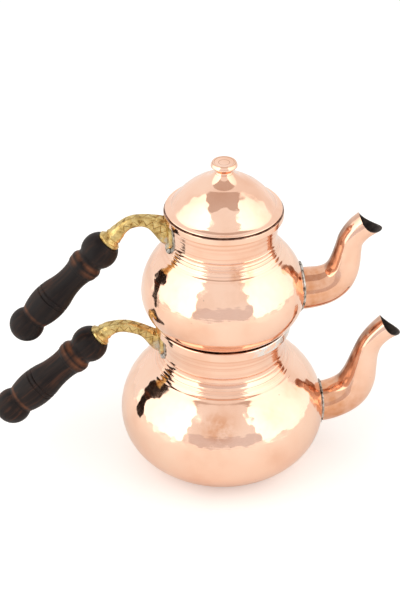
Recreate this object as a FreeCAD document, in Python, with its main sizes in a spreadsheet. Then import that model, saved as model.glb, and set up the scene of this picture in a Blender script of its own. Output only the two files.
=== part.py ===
import FreeCAD, Part
import math
import os
import Sketcher
from FreeCAD import Placement, Rotation, Vector

# Copper double teapot: a kettle that stands on its flat base, a brewing pot that sits in the
# kettle's mouth, and a lid on the pot. Millimetres, +Z up, origin in the middle of the kettle's
# base, spouts towards +X and handles towards -X.

SIZES = {
    # copper sheet and the rolled rims
    "sheet_wall": 1.2,
    "rim_edge_radius": 1.2,
    "rim_step": 1.3,
    "rim_flare_height": 3.6,
    "ring_radius": 0.8,
    "ring_height": 0.45,
    "seat_gap": 0.3,
    "fit_gap": 0.05,
    "cut_overrun": 6.0,
    # kettle shell, outside sizes, heights above its base
    "kettle_belly_radius": 90.0,
    "kettle_equator_height": 50.0,
    "kettle_crown_join_angle": 45.7,
    "kettle_bowl_join_angle": 43.9,
    "kettle_base_edge_radius": 12.0,
    "kettle_waist_radius": 53.5,
    "kettle_throat_bend_radius": 20.0,
    "kettle_neck_flare_radius": 123.0,
    "kettle_neck_height": 19.66,
    "kettle_rim_height": 9.0,
    "kettle_rim_overhang": 3.52,
    "kettle_rim_band": 3.4,
    # pot shell: its belly stands out over the kettle's rim, heights above its own base
    "pot_belly_overhang": 11.8,
    "pot_equator_height": 38.2,
    "pot_crown_join_angle": 45.2,
    "pot_bowl_join_angle": 57.4,
    "pot_base_edge_radius": 6.0,
    "pot_waist_radius": 45.5,
    "pot_throat_bend_radius": 17.0,
    "pot_neck_flare_radius": 139.0,
    "pot_neck_height": 20.16,
    "pot_rim_height": 6.8,
    "pot_rim_overhang": 3.53,
    "pot_rim_band": 3.5,
    # spouts: root, throat and mouth
    "spout_wall": 1.2,
    "spout_bead_width": 1.7,
    "spout_bead_height": 1.5,
    "kettle_spout_root_drop": 2.3,
    "kettle_spout_root_radius": 18.0,
    "kettle_spout_throat_radius": 10.6,
    "kettle_spout_reach": 57.0,
    "kettle_spout_rise": 80.0,
    "kettle_spout_lip_dip": 5.0,
    "pot_spout_root_drop": 3.4,
    "pot_spout_root_radius": 18.1,
    "pot_spout_throat_radius": 11.1,
    "pot_spout_reach": 55.2,
    "pot_spout_rise": 64.5,
    "pot_spout_lip_dip": 5.0,
    "strainer_hole_radius": 2.0,
    "strainer_pitch": 6.2,
    "strainer_turn_angle": 15.0,
    # brass brackets
    "foot_thickness": 3.2,
    "foot_crease_gap": 0.6,
    "foot_half_width": 12.0,
    "foot_tip_radius": 7.0,
    "smear_thickness": 0.7,
    "smear_margin": 4.0,
    "arm_thickness": 10.4,
    "arm_width": 11.0,
    "arm_corner": 2.6,
    "kettle_arm_reach": 47.6,
    "kettle_arm_climb": 21.7,
    "kettle_foot_drop": 2.54,
    "kettle_handle_droop": 41.5,
    "pot_arm_reach": 45.5,
    "pot_arm_climb": 7.5,
    "pot_foot_drop": 5.64,
    "pot_handle_droop": 47.4,
    "ferrule_length": 9.4,
    "ferrule_neck_radius": 6.6,
    "ferrule_end_radius": 9.9,
    "ferrule_flange_length": 2.6,
    "ferrule_groove_depth": 0.9,
    # rivets through the neck wall and the foot
    "rivet_radius": 2.0,
    "rivet_head_radius": 3.8,
    "rivet_head_height": 1.5,
    "rivet_spread": 9.0,
    # turned wooden grips and their steel studs
    "kettle_grip_span": 92.4,
    "kettle_grip_groove_radius": 13.2,
    "kettle_grip_collar_radius": 14.8,
    "kettle_grip_waist_radius": 12.7,
    "kettle_grip_belly_radius": 16.15,
    "kettle_grip_end_groove_radius": 13.6,
    "kettle_grip_end_ball_radius": 15.75,
    "pot_grip_span": 95.0,
    "pot_grip_groove_radius": 12.8,
    "pot_grip_collar_radius": 14.0,
    "pot_grip_waist_radius": 11.4,
    "pot_grip_belly_radius": 15.5,
    "pot_grip_end_groove_radius": 12.5,
    "pot_grip_end_ball_radius": 14.95,
    "grip_start": 11.0,
    "grip_first_ball_radius": 15.75,
    "grip_end_groove_width": 2.4,
    "grip_line_width": 1.2,
    "grip_line_depth": 0.7,
    "stud_radius": 3.0,
    "stud_in_ferrule": 7.5,
    "stud_in_grip": 42.0,
    # lid, heights above the underside of its brim
    "lid_brim_inset": 1.2,
    "lid_brim_edge": 1.6,
    "lid_sheet": 1.0,
    "lid_dome_foot_step": 0.1,
    "lid_dome_foot_height": 2.3,
    "lid_dome_radius": 62.0,
    "lid_cone_radius": 19.8,
    "lid_cone_height": 26.2,
    "lid_seat_radius": 7.8,
    "lid_seat_height": 34.4,
    "lid_cone_bend_radius": 26.0,
    "collar_clearance": 0.83,
    "collar_wall": 0.9,
    "collar_height": 7.0,
    "knob_base_step": 0.4,
    "knob_waist_radius": 6.7,
    "knob_waist_height": 1.6,
    "knob_head_radius": 11.1,
    "knob_head_height": 6.1,
    "knob_top_radius": 9.8,
    "knob_height": 9.9,
    "knob_dish_radius": 8.4,
    "knob_dish_depth": 0.7,
    "screw_radius": 2.0,
    "screw_depth": 6.5,
    "screw_head_radius": 3.8,
    "screw_head_height": 2.0,
    "washer_radius": 6.0,
    "washer_thickness": 1.0,
}

# Radii of the belly's arcs: the side's and the crown's as shares of the belly radius, the
# haunch's and the bowl's as shares of the equator's height.
KETTLE_ARC_SHARES = (0.6456, 0.8744, 0.908, 1.442)
POT_ARC_SHARES = (0.7486, 0.9119, 0.8901, 1.788)

# Stations along each spout: shares of its reach and rise from the root, share of the way from
# throat radius to root radius, and the heading of its centreline in degrees above level.
KETTLE_SPOUT_SHARES = (
    (-0.210, 0.000, 1.00, 0),
    (0.070, 0.006, 0.99, 6),
    (0.316, 0.072, 0.93, 27),
    (0.480, 0.172, 0.84, 50),
    (0.573, 0.316, 0.65, 70),
    (0.620, 0.479, 0.35, 79),
    (0.664, 0.635, 0.11, 78),
    (0.742, 0.782, 0.00, 63),
    (0.885, 0.910, 0.03, 44),
    (1.050, 1.000, 0.19, 36),
    (1.240, 1.078, 0.43, 31),
)
POT_SPOUT_SHARES = (
    (-0.188, 0.000, 1.01, 0),
    (0.065, 0.003, 0.99, 4),
    (0.318, 0.040, 0.83, 19),
    (0.492, 0.134, 0.65, 44),
    (0.588, 0.270, 0.45, 68),
    (0.637, 0.429, 0.26, 79),
    (0.668, 0.592, 0.07, 80),
    (0.708, 0.740, 0.00, 66),
    (0.826, 0.884, 0.04, 49),
    (1.000, 1.000, 0.13, 41),
    (1.150, 1.100, 0.27, 38),
)
# The mouth's inner and outer lip tips, as shares of reach and rise from the root.
KETTLE_LIP_SHARES = ((0.880, 1.058), (1.330, 0.880))
POT_LIP_SHARES = ((0.808, 1.119), (1.176, 0.880))

# Stations along each arm, from the foot to the ferrule: share of its reach outwards from the
# waist, height as a share of its climb, thickness and width shares, and heading in degrees.
KETTLE_ARM_SHARES = (
    (0.00, 0.345, 1.92, 1.08, 180),
    (0.17, 0.56, 1.42, 1.06, 150),
    (0.315, 0.84, 1.04, 1.02, 152),
    (0.502, 1.045, 1.00, 1.00, 163),
    (0.705, 1.15, 1.00, 1.00, 181),
    (0.875, 1.115, 1.04, 1.04, 204),
    (1.00, 1.00, 1.10, 1.10, 221.5),
)
POT_ARM_SHARES = (
    (0.00, 0.98, 2.35, 1.08, 180),
    (0.22, 1.86, 1.72, 1.06, 162),
    (0.39, 2.46, 1.15, 1.02, 168),
    (0.552, 2.62, 1.00, 1.00, 183),
    (0.737, 2.42, 1.00, 1.00, 201),
    (0.90, 1.70, 1.05, 1.05, 222),
    (1.00, 1.00, 1.12, 1.12, 228),
)

# Places along the grip from the first ball's centre, as shares of the span between the balls.
GRIP_GROOVE_SHARE = 0.145
GRIP_COLLAR_SHARE = 0.205
GRIP_WAIST_SHARE = 0.37
GRIP_BELLY_SHARE = 0.70
GRIP_LINE_SHARES = (0.606, 0.650)
# Hollow behind the grip's collar, as a share of the collar's rise; the knob's, of its own rise
GRIP_HOLLOW_SHARE = 1.6
KNOB_HOLLOW_SHARE = 1.4

# Angle of a strip round the neck, as a share of its half angle, before its outline is cut
STRIP_WRAP_SHARE = 3.0
# Strainer holes in each ring round the middle one
STRAINER_RING_COUNTS = (6, 12)

# Ring ridges on the throat, as shares of the way up from the shoulder to the waist.
KETTLE_RING_SHARES = (0.0, 0.20, 0.40, 0.66, 1.0)
POT_RING_SHARES = (0.0, 0.24, 0.46, 0.70, 1.0)

document = FreeCAD.newDocument("CopperTeapot")
sheet = document.addObject("Spreadsheet::Sheet", "Sizes")
for row, (alias, number) in enumerate(SIZES.items(), 1):
    sheet.set(f"A{row}", alias)
    sheet.set(f"B{row}", str(number))
    sheet.setAlias(f"B{row}", alias)
document.recompute()


# Size arithmetic: a number together with the expression that binds it to the sheet
class Size:
    def __init__(self, value, text):
        self.value = value
        self.text = text

    def __add__(self, other):
        other = as_size(other)
        return Size(self.value + other.value, f"({self.text} + {other.text})")

    def __sub__(self, other):
        other = as_size(other)
        return Size(self.value - other.value, f"({self.text} - {other.text})")

    def __mul__(self, other):
        other = as_size(other)
        return Size(self.value * other.value, f"({self.text} * {other.text})")

    def __truediv__(self, other):
        other = as_size(other)
        return Size(self.value / other.value, f"({self.text} / {other.text})")

    def __neg__(self):
        return Size(-self.value, f"(0 - {self.text})")


def as_size(number):
    if isinstance(number, Size):
        return number
    return Size(float(number), f"({number!r})")


def size(alias):
    return Size(float(SIZES[alias]), f"Sizes.{alias}")


def root_of(square):
    return Size(math.sqrt(square.value), f"sqrt({square.text})")


def leg(hypotenuse, other_leg):
    return root_of(hypotenuse * hypotenuse - other_leg * other_leg)


def swing(run, rise):
    """Radius of an arc that leaves level and rises so far over its run."""
    return (run * run + rise * rise) / (rise * 2)


def hypotenuse_of(first_leg, second_leg):
    return root_of(first_leg * first_leg + second_leg * second_leg)


def cosine(angle):
    angle = as_size(angle)
    return Size(math.cos(math.radians(angle.value)), f"cos({angle.text} * 1 deg)")


def sine(angle):
    angle = as_size(angle)
    return Size(math.sin(math.radians(angle.value)), f"sin({angle.text} * 1 deg)")


def arcsine(ratio):
    return Size(math.degrees(math.asin(ratio.value)), f"(asin({ratio.text}) / 1 deg)")


NOTHING = Size(0.0, "0")
WALL = size("sheet_wall")


# Sketch and feature helpers
def origin_plane(body, role):
    return next(item for item in body.Origin.OriginFeatures if item.Role == role)


def new_body(name):
    body = document.addObject("PartDesign::Body", name)
    body.Label = name
    return body


def new_sketch(body, name, role="XZ_Plane", place=None, axis=(0, 1, 0), turn=None):
    """A sketch on an origin plane, moved to place (three sizes) and turned about axis."""
    sketch = body.newObject("Sketcher::SketchObject", name)
    sketch.AttachmentSupport = [(origin_plane(body, role), "")]
    sketch.MapMode = "FlatFace"
    place = place or (NOTHING, NOTHING, NOTHING)
    turn = as_size(turn or 0)
    sketch.AttachmentOffset = Placement(
        Vector(*(part.value for part in place)), Rotation(Vector(*axis), turn.value))
    for letter, part in zip("xyz", place):
        sketch.setExpression(f"AttachmentOffset.Base.{letter}", part.text)
    if turn.value:
        sketch.setExpression("AttachmentOffset.Rotation.Angle", f"{turn.text} * 1 deg")
    return sketch


def bind(sketch, kind, where, amount):
    index = sketch.addConstraint(Sketcher.Constraint(kind, *where, amount.value))
    sketch.setExpression(f"Constraints[{index}]", amount.text)


def pin_point(sketch, where, point):
    """Fix a point of the sketch at two sizes from its origin."""
    for kind, amount, axis_line in (("DistanceX", point[0], -2), ("DistanceY", point[1], -1)):
        if amount is NOTHING:
            sketch.addConstraint(Sketcher.Constraint("PointOnObject", *where, axis_line))
        else:
            bind(sketch, kind, where, amount)


def flat(point):
    return Vector(point[0].value, point[1].value, 0)


def arc_between(start, end, centre, radius, counter_clockwise):
    """The arc's geometry, and whether it runs from end to start."""
    if not counter_clockwise:
        start, end = end, start
    circle = Part.Circle(centre, Vector(0, 0, 1), radius)
    first = math.atan2(start.y - centre.y, start.x - centre.x)
    last = math.atan2(end.y - centre.y, end.x - centre.x)
    return Part.ArcOfCircle(circle, first, last)


def draw_outline(sketch, corners, bends):
    """A closed outline. bends[i] shapes the way from corner i to the next: None for a line,
    or a radius, positive where the arc turns left and negative where it turns right."""
    count = len(corners)
    reversed_arcs = []
    for index, corner in enumerate(corners):
        start = flat(corner)
        end = flat(corners[(index + 1) % count])
        bend = bends[index]
        if bend is None:
            sketch.addGeometry(Part.LineSegment(start, end))
            reversed_arcs.append(False)
            continue
        radius = abs(bend.value)
        chord = end - start
        side = Vector(-chord.y, chord.x, 0).normalize()
        inward = math.sqrt(max(radius ** 2 - chord.Length ** 2 / 4, 0))
        turn = 1 if bend.value > 0 else -1
        centre = (start + end) / 2 + side * (inward * turn)
        sketch.addGeometry(arc_between(start, end, centre, radius, turn > 0))
        reversed_arcs.append(turn < 0)
    for index, corner in enumerate(corners):
        ends = (2, 1) if reversed_arcs[index] else (1, 2)
        following = (index + 1) % count
        next_start = 2 if reversed_arcs[following] else 1
        pin_point(sketch, (index, ends[0]), corner)
        sketch.addConstraint(Sketcher.Constraint("Coincident", index, ends[1], following, next_start))
        bend = bends[index]
        if bend is not None:
            bind(sketch, "Radius", (index,), bend if bend.value > 0 else -bend)


def draw_circle(sketch, centre, radius):
    index = sketch.addGeometry(Part.Circle(flat(centre), Vector(0, 0, 1), radius.value))
    pin_point(sketch, (index, 3), centre)
    bind(sketch, "Radius", (index,), radius)


def revolve(body, name, sketch, angle=None, cut=False):
    """A full turn about the sketch's vertical axis, or a part turn centred on the sketch."""
    kind = "PartDesign::Groove" if cut else "PartDesign::Revolution"
    feature = body.newObject(kind, name)
    feature.Profile = sketch
    feature.ReferenceAxis = (sketch, ["V_Axis"])
    feature.Angle = 360.0
    if angle is not None:
        feature.Midplane = True
        feature.Angle = angle.value
        feature.setExpression("Angle", angle.text)
    sketch.Visibility = False
    return feature


def loft(body, name, sections, cut=False):
    kind = "PartDesign::SubtractiveLoft" if cut else "PartDesign::AdditiveLoft"
    feature = body.newObject(kind, name)
    feature.Profile = sections[0]
    feature.Sections = sections[1:]
    feature.Ruled = False
    return feature


def pocket(body, name, sketch, length, backwards=False, both_ways=False):
    feature = body.newObject("PartDesign::Pocket", name)
    feature.Profile = sketch
    feature.setExpression("Length", length.text)
    feature.Reversed = backwards
    feature.Midplane = both_ways
    return feature


def set_height(body, height):
    body.Placement = Placement(Vector(0, 0, height.value), Rotation())
    body.setExpression("Placement.Base.z", height.text)


# Vessel: the spun shell's outline, shared by the shell and by all that is fitted to it
class Vessel:
    """The outline of one vessel above its own base, which stands at height base."""

    def __init__(self, name, belly, arc_shares, ring_shares):
        self.name = name
        self.base = NOTHING
        self.ring_shares = ring_shares
        self.belly = belly
        self.equator = self.own("equator_height")
        side_share, crown_share, haunch_share, bowl_share = arc_shares
        self.side_radius = belly * side_share
        self.crown_radius = belly * crown_share
        self.haunch_radius = self.equator * haunch_share
        self.bowl_radius = self.equator * bowl_share
        self.edge_radius = self.own("base_edge_radius")
        self.waist = self.own("waist_radius")
        self.bend_radius = self.own("throat_bend_radius")
        self.flare_radius = self.own("neck_flare_radius")
        self.side = (self.belly - self.side_radius, self.equator)
        self.haunch = (self.belly - self.haunch_radius, self.equator)
        join = self.own("crown_join_angle")
        drop = self.crown_radius - self.side_radius
        self.crown_way = (cosine(join), sine(join))
        self.crown = (self.side[0] - drop * self.crown_way[0],
                      self.side[1] - drop * self.crown_way[1])
        join = self.own("bowl_join_angle")
        lift = self.bowl_radius - self.haunch_radius
        self.bowl_way = (cosine(join), -sine(join))
        self.bowl = (self.haunch[0] - lift * self.bowl_way[0],
                     self.haunch[1] - lift * self.bowl_way[1])
        self.edge = (self.bowl[0] + leg(self.bowl_radius - self.edge_radius,
                                        self.bowl[1] - self.edge_radius), self.edge_radius)
        across = self.waist + self.bend_radius
        self.bend = (across, self.crown[1] + leg(self.crown_radius + self.bend_radius,
                                                 across - self.crown[0]))
        self.flare = (self.waist + self.flare_radius, self.bend[1])
        self.crease = self.bend[1] + self.own("neck_height")
        self.top = self.crease + self.own("rim_height")
        self.rim_radius = self.neck_radius(self.crease, NOTHING) + self.own("rim_overhang")
        self.mouth = self.rim_radius - self.own("rim_band")
        self.spout_root = self.equator - self.own("spout_root_drop")
        self.foot_low = self.bend[1] - self.own("foot_drop")
        self.foot_high = self.crease - size("foot_crease_gap")

    def own(self, part):
        return size(f"{self.name}_{part}")

    def bowl_to_throat(self, inset):
        """Corners and bends from the base's middle up to the shoulder, inside the skin."""
        to_edge = (self.bowl_radius - inset) / (self.bowl_radius - self.edge_radius)
        edge_end = tuple(bowl + (edge - bowl) * to_edge for bowl, edge in zip(self.bowl, self.edge))
        haunch_radius = self.haunch_radius - inset
        side_radius = self.side_radius - inset
        corners = [
            (NOTHING, inset if inset.value else NOTHING),
            (self.edge[0], inset if inset.value else NOTHING),
            edge_end,
            tuple(c + haunch_radius * way for c, way in zip(self.haunch, self.bowl_way)),
            (self.belly - inset, self.equator),
            tuple(c + side_radius * way for c, way in zip(self.side, self.crown_way)),
            self.shoulder(inset),
        ]
        bends = [None, self.edge_radius - inset, self.bowl_radius - inset, haunch_radius,
                 side_radius, self.crown_radius - inset]
        return corners, bends

    def shoulder(self, inset):
        """Where the crown's arc meets the throat's bend."""
        share = (self.crown_radius - inset) / (self.crown_radius + self.bend_radius)
        return tuple(crown + (bend - crown) * share for crown, bend in zip(self.crown, self.bend))

    def waist_point(self, inset):
        return (self.waist - inset, self.bend[1])

    def neck_radius(self, height, inset):
        """The neck's radius at a height above the waist."""
        return self.flare[0] - leg(self.flare_radius + inset, height - self.bend[1])

    def throat_radius(self, height, inset):
        """The throat's radius at a height between shoulder and waist."""
        return self.bend[0] - leg(self.bend_radius + inset, self.bend[1] - height)

    def neck_top(self, inset):
        return (self.neck_radius(self.crease, inset), self.crease)

    def skin(self, inset):
        """Corners and bends from the base's middle up to the crease under the rim."""
        corners, bends = self.bowl_to_throat(inset)
        corners += [self.waist_point(inset), self.neck_top(inset)]
        bends += [-(self.bend_radius + inset), -(self.flare_radius + inset)]
        return corners, bends

    def rim(self):
        """The rolled band's corners and bends, from the crease over the top to the mouth."""
        edge = size("rim_edge_radius")
        corners = [(self.rim_radius, self.crease + size("rim_step")),
                   (self.rim_radius, self.top - edge), (self.rim_radius - edge, self.top),
                   (self.mouth + edge, self.top), (self.mouth, self.top - edge),
                   (self.mouth, self.crease + size("rim_flare_height"))]
        bends = [None, edge, None, edge, None, None]
        return corners, bends


KETTLE = Vessel("kettle", size("kettle_belly_radius"), KETTLE_ARC_SHARES, KETTLE_RING_SHARES)
POT = Vessel("pot", KETTLE.rim_radius + size("pot_belly_overhang"), POT_ARC_SHARES,
             POT_RING_SHARES)
# The pot's haunch rests on the rounded inner edge of the kettle's rim, a seat gap away.
rim_edge = size("rim_edge_radius")
POT.base = (KETTLE.top - rim_edge - POT.equator
            + leg(POT.haunch_radius + rim_edge + size("seat_gap"),
                  KETTLE.mouth + rim_edge - POT.haunch[0]))
LID_BASE = POT.base + POT.top + size("seat_gap")
# The lid's collar hangs inside the pot's neck, a clearance away from it at the collar's foot.
COLLAR_RADIUS = POT.neck_radius(POT.top - size("collar_height"), WALL) - size("collar_clearance")


# Vessel shells: revolved sheet, ring ridges on the throat, openings for spout and rivets
def ring_outline(body, vessel):
    """The round sections of the ring ridges, mostly sunk in the throat's skin."""
    sketch = new_sketch(body, f"{vessel.name}_ring_places")
    inward = (vessel.bend_radius + size("ring_radius") - size("ring_height")) / vessel.bend_radius
    low = vessel.shoulder(NOTHING)[1]
    for share in vessel.ring_shares:
        height = low + (vessel.bend[1] - low) * share
        across = vessel.bend[0] + (vessel.throat_radius(height, NOTHING) - vessel.bend[0]) * inward
        draw_circle(sketch, (across, vessel.bend[1] + (height - vessel.bend[1]) * inward),
                    size("ring_radius"))
    return sketch


def make_shell(vessel):
    body = new_body(f"{vessel.name}_body")
    corners, bends = vessel.skin(NOTHING)
    rim_corners, rim_bends = vessel.rim()
    inner_corners, inner_bends = vessel.skin(WALL)
    inner_corners.reverse()
    inner_bends.reverse()
    inner_bends = [bend if bend is None else -bend for bend in inner_bends]
    sketch = new_sketch(body, f"{vessel.name}_shell_outline")
    draw_outline(sketch, corners + rim_corners + inner_corners,
                 bends + [None] + rim_bends + inner_bends + [None])
    revolve(body, f"{vessel.name}_spun_sheet", sketch)
    revolve(body, f"{vessel.name}_rings", ring_outline(body, vessel))
    set_height(body, vessel.base)
    return body


def cut_spout_hole(body, vessel):
    sketch = new_sketch(body, "spout_opening", "YZ_Plane")
    draw_circle(sketch, (NOTHING, vessel.spout_root),
                vessel.own("spout_root_radius") - size("spout_wall"))
    pocket(body, "spout_opening_cut", sketch, vessel.belly + size("cut_overrun"), backwards=True)


def cut_strainer(body, vessel):
    """Holes in rings behind the spout, so that leaves stay in the pot."""
    sketch = new_sketch(body, "strainer_holes", "YZ_Plane")
    height = vessel.spout_root
    draw_circle(sketch, (NOTHING, height), size("strainer_hole_radius"))
    for ring, hole_count in enumerate(STRAINER_RING_COUNTS, 1):
        for hole in range(hole_count):
            angle = size("strainer_turn_angle") + 360 / hole_count * hole
            reach = size("strainer_pitch") * ring
            draw_circle(sketch, (reach * cosine(angle), height + reach * sine(angle)),
                        size("strainer_hole_radius"))
    pocket(body, "strainer_cut", sketch, vessel.belly + size("cut_overrun"), backwards=True)


# Spouts: tubes lofted through round stations, trimmed to the belly and cut at the mouth
def spout_point(vessel, reach_share, rise_share):
    return (vessel.belly + vessel.own("spout_reach") * reach_share,
            vessel.spout_root + vessel.own("spout_rise") * rise_share)


def spout_sections(body, vessel, shares, name, inset):
    throat = vessel.own("spout_throat_radius")
    swell = vessel.own("spout_root_radius") - throat
    sections = []
    for index, (reach_share, rise_share, swell_share, heading) in enumerate(shares):
        across, up = spout_point(vessel, reach_share, rise_share)
        sketch = new_sketch(body, f"{name}_{index}", "XY_Plane", (across, NOTHING, up),
                            turn=as_size(90 - heading))
        draw_circle(sketch, (NOTHING, NOTHING), throat + swell * swell_share - inset)
        sections.append(sketch)
    return sections


def carve_belly(body, vessel):
    """Take away all that lies inside the belly's outer skin."""
    corners, bends = vessel.bowl_to_throat(NOTHING)
    sketch = new_sketch(body, "belly_outline")
    draw_outline(sketch, corners + [(NOTHING, corners[-1][1])], bends + [None, None])
    revolve(body, "belly_cut", sketch, cut=True)


def make_spout(vessel, shares, lip_shares):
    body = new_body(f"{vessel.name}_spout")
    loft(body, "tube", spout_sections(body, vessel, shares, "station", NOTHING))
    loft(body, "bore", spout_sections(body, vessel, shares, "bore_station", size("spout_wall")),
         cut=True)
    carve_belly(body, vessel)
    inner, outer = (spout_point(vessel, *share) for share in lip_shares)
    run = outer[0] - inner[0]
    fall = inner[1] - outer[1]
    chord = hypotenuse_of(run, fall)
    dip = vessel.own("spout_lip_dip")
    lip_radius = (chord * chord / 4 + dip * dip) / (dip * 2)
    reach = vessel.own("spout_root_radius") * 2
    beyond = reach / chord
    ahead = (inner[0] + (fall * beyond) - (run * beyond), inner[1] + (run * beyond) + (fall * beyond))
    below = (outer[0] + (fall * beyond) + (run * beyond), outer[1] + (run * beyond) - (fall * beyond))
    sketch = new_sketch(body, "mouth_outline")
    draw_outline(sketch, [inner, outer, below, ahead], [lip_radius, None, None, None])
    pocket(body, "mouth_cut", sketch, reach * 2, both_ways=True)
    set_height(body, vessel.base)
    return body


def make_spout_solder(vessel, shares):
    """A tin bead that runs round the spout's root on the belly."""
    body = new_body(f"{vessel.name}_spout_solder")
    loft(body, "bead_outside", spout_sections(body, vessel, shares, "outside",
                                              -size("spout_bead_width")))
    loft(body, "bead_inside", spout_sections(body, vessel, shares, "inside", -size("fit_gap")),
         cut=True)
    carve_belly(body, vessel)
    height = size("spout_bead_height")
    corners, bends = vessel.bowl_to_throat(-height)
    far = vessel.belly + vessel.own("spout_reach") * 2
    above = vessel.spout_root + vessel.own("spout_rise") + vessel.own("spout_reach")
    sketch = new_sketch(body, "bead_height_outline")
    draw_outline(sketch, corners[3:] + [(corners[-1][0], above), (far, above), (far, corners[3][1])],
                 bends[3:] + [None] * 4)
    revolve(body, "bead_height_cut", sketch, cut=True)
    set_height(body, vessel.base)
    return body


# Brackets: a leaf-shaped foot on the neck, a cast arm and a ferrule for the wood
def foot_plate(body, vessel, name, thickness, low, high, half_width):
    """A strip on the neck's skin from height low to height high, wider than half_width."""
    inside = NOTHING
    outside = -thickness
    wrap = arcsine(half_width / vessel.waist) * STRIP_WRAP_SHARE
    corners = [(-vessel.throat_radius(low, inside), low),
               (-vessel.waist_point(inside)[0], vessel.bend[1]),
               (-vessel.neck_radius(high, inside), high),
               (-vessel.neck_radius(high, outside), high),
               (-vessel.waist_point(outside)[0], vessel.bend[1]),
               (-vessel.throat_radius(low, outside), low)]
    bends = [vessel.bend_radius + inside, vessel.flare_radius + inside, None,
             -(vessel.flare_radius + outside), -(vessel.bend_radius + outside), None]
    sketch = new_sketch(body, f"{name}_section")
    draw_outline(sketch, corners, bends)
    revolve(body, name, sketch, wrap)


def leaf_corners(low, high, half_width, tip):
    """A tongue with a round lower end."""
    return ([(-half_width, high), (-half_width, low + tip), (-(half_width - tip), low),
             (half_width - tip, low), (half_width, low + tip), (half_width, high)],
            [None, tip, None, tip, None, None])


def trim_leaf(body, vessel, name, low, high, half_width, tip):
    """Cut away what lies outside the tongue."""
    margin = half_width + size("smear_margin") + size("cut_overrun")
    over = size("cut_overrun")
    corners, bends = leaf_corners(low, high, half_width, tip)
    frame = [(-half_width, high + over), (-margin, high + over), (-margin, low - over),
             (margin, low - over), (margin, high + over), (half_width, high + over)]
    sketch = new_sketch(body, f"{name}_outline", "YZ_Plane")
    draw_outline(sketch, frame + corners[::-1],
                 [None] * 6 + [None, -tip, None, -tip, None, None])
    pocket(body, name, sketch, vessel.belly + size("cut_overrun"))


def arm_point(vessel, out_share, climb_share):
    return (vessel.waist + vessel.own("arm_reach") * out_share,
            vessel.bend[1] + vessel.own("arm_climb") * climb_share)


def arm_sections(body, vessel, shares):
    sections = []
    for index, (out_share, climb_share, thickness_share, width_share, heading) in enumerate(shares):
        out, up = arm_point(vessel, out_share, climb_share)
        sketch = new_sketch(body, f"arm_station_{index}", "XY_Plane", (-out, NOTHING, up),
                            turn=as_size(90 - heading))
        half_thick = size("arm_thickness") * thickness_share / 2
        half_wide = size("arm_width") * width_share / 2
        corner = size("arm_corner")
        corners = [(half_thick, half_wide - corner), (half_thick - corner, half_wide),
                   (-(half_thick - corner), half_wide), (-half_thick, half_wide - corner),
                   (-half_thick, -(half_wide - corner)), (-(half_thick - corner), -half_wide),
                   (half_thick - corner, -half_wide), (half_thick, -(half_wide - corner))]
        draw_outline(sketch, corners, [None] * len(corners))
        sections.append(sketch)
    return sections


def handle_turn(vessel):
    """The turn that lays a sketch's upright axis along the drooping handle."""
    return vessel.own("handle_droop") + 90


def ferrule_sketch(body, vessel, name, distance):
    """A sketch in the bracket's middle plane, its upright axis along the handle."""
    out, up = arm_point(vessel, 1, 1)
    out = out + distance * cosine(vessel.own("handle_droop"))
    up = up - distance * sine(vessel.own("handle_droop"))
    return new_sketch(body, name, "XZ_Plane", (-out, up, NOTHING), (0, 0, 1), handle_turn(vessel))


def carve_rings(body, vessel):
    """Make room for the ring ridges in what lies on the throat."""
    revolve(body, "ring_cut", ring_outline(body, vessel), cut=True)


def carve_vessel(body, vessel):
    """Take away all that lies inside the vessel's outer skin, its rim included."""
    corners, bends = vessel.skin(NOTHING)
    rim_corners, rim_bends = vessel.rim()
    outline = corners + rim_corners[:3]
    sketch = new_sketch(body, "vessel_outline")
    draw_outline(sketch, outline + [(NOTHING, rim_corners[2][1])],
                 bends + [None] + rim_bends[:2] + [None, None])
    revolve(body, "vessel_cut", sketch, cut=True)


def make_bracket(vessel, shares):
    body = new_body(f"{vessel.name}_bracket")
    low = vessel.foot_low
    high = vessel.foot_high
    half_width = size("foot_half_width")
    foot_plate(body, vessel, "foot", size("foot_thickness"), low, high, half_width)
    trim_leaf(body, vessel, "foot_trim", low, high, half_width, size("foot_tip_radius"))
    loft(body, "arm", arm_sections(body, vessel, shares))
    length = size("ferrule_length")
    flange = size("ferrule_flange_length")
    neck = size("ferrule_neck_radius")
    end = size("ferrule_end_radius")
    groove = size("ferrule_groove_depth")
    sketch = ferrule_sketch(body, vessel, "ferrule_section", NOTHING)
    corners = [(NOTHING, -flange), (neck - groove, -flange), (neck, NOTHING),
               (neck + groove, flange), (neck, flange + groove),
               (end - groove, length - flange), (end, length - flange), (end, length),
               (NOTHING, length)]
    draw_outline(sketch, corners, [None] * len(corners))
    revolve(body, "ferrule", sketch)
    depth = size("stud_in_ferrule") + size("fit_gap")
    bore = size("stud_radius") + size("fit_gap")
    sketch = ferrule_sketch(body, vessel, "stud_hole_section", NOTHING)
    draw_outline(sketch, [(NOTHING, length - depth), (bore, length - depth),
                          (bore, length + flange), (NOTHING, length + flange)], [None] * 4)
    revolve(body, "stud_hole", sketch, cut=True)
    carve_vessel(body, vessel)
    carve_rings(body, vessel)
    set_height(body, vessel.base)
    return body


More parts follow.
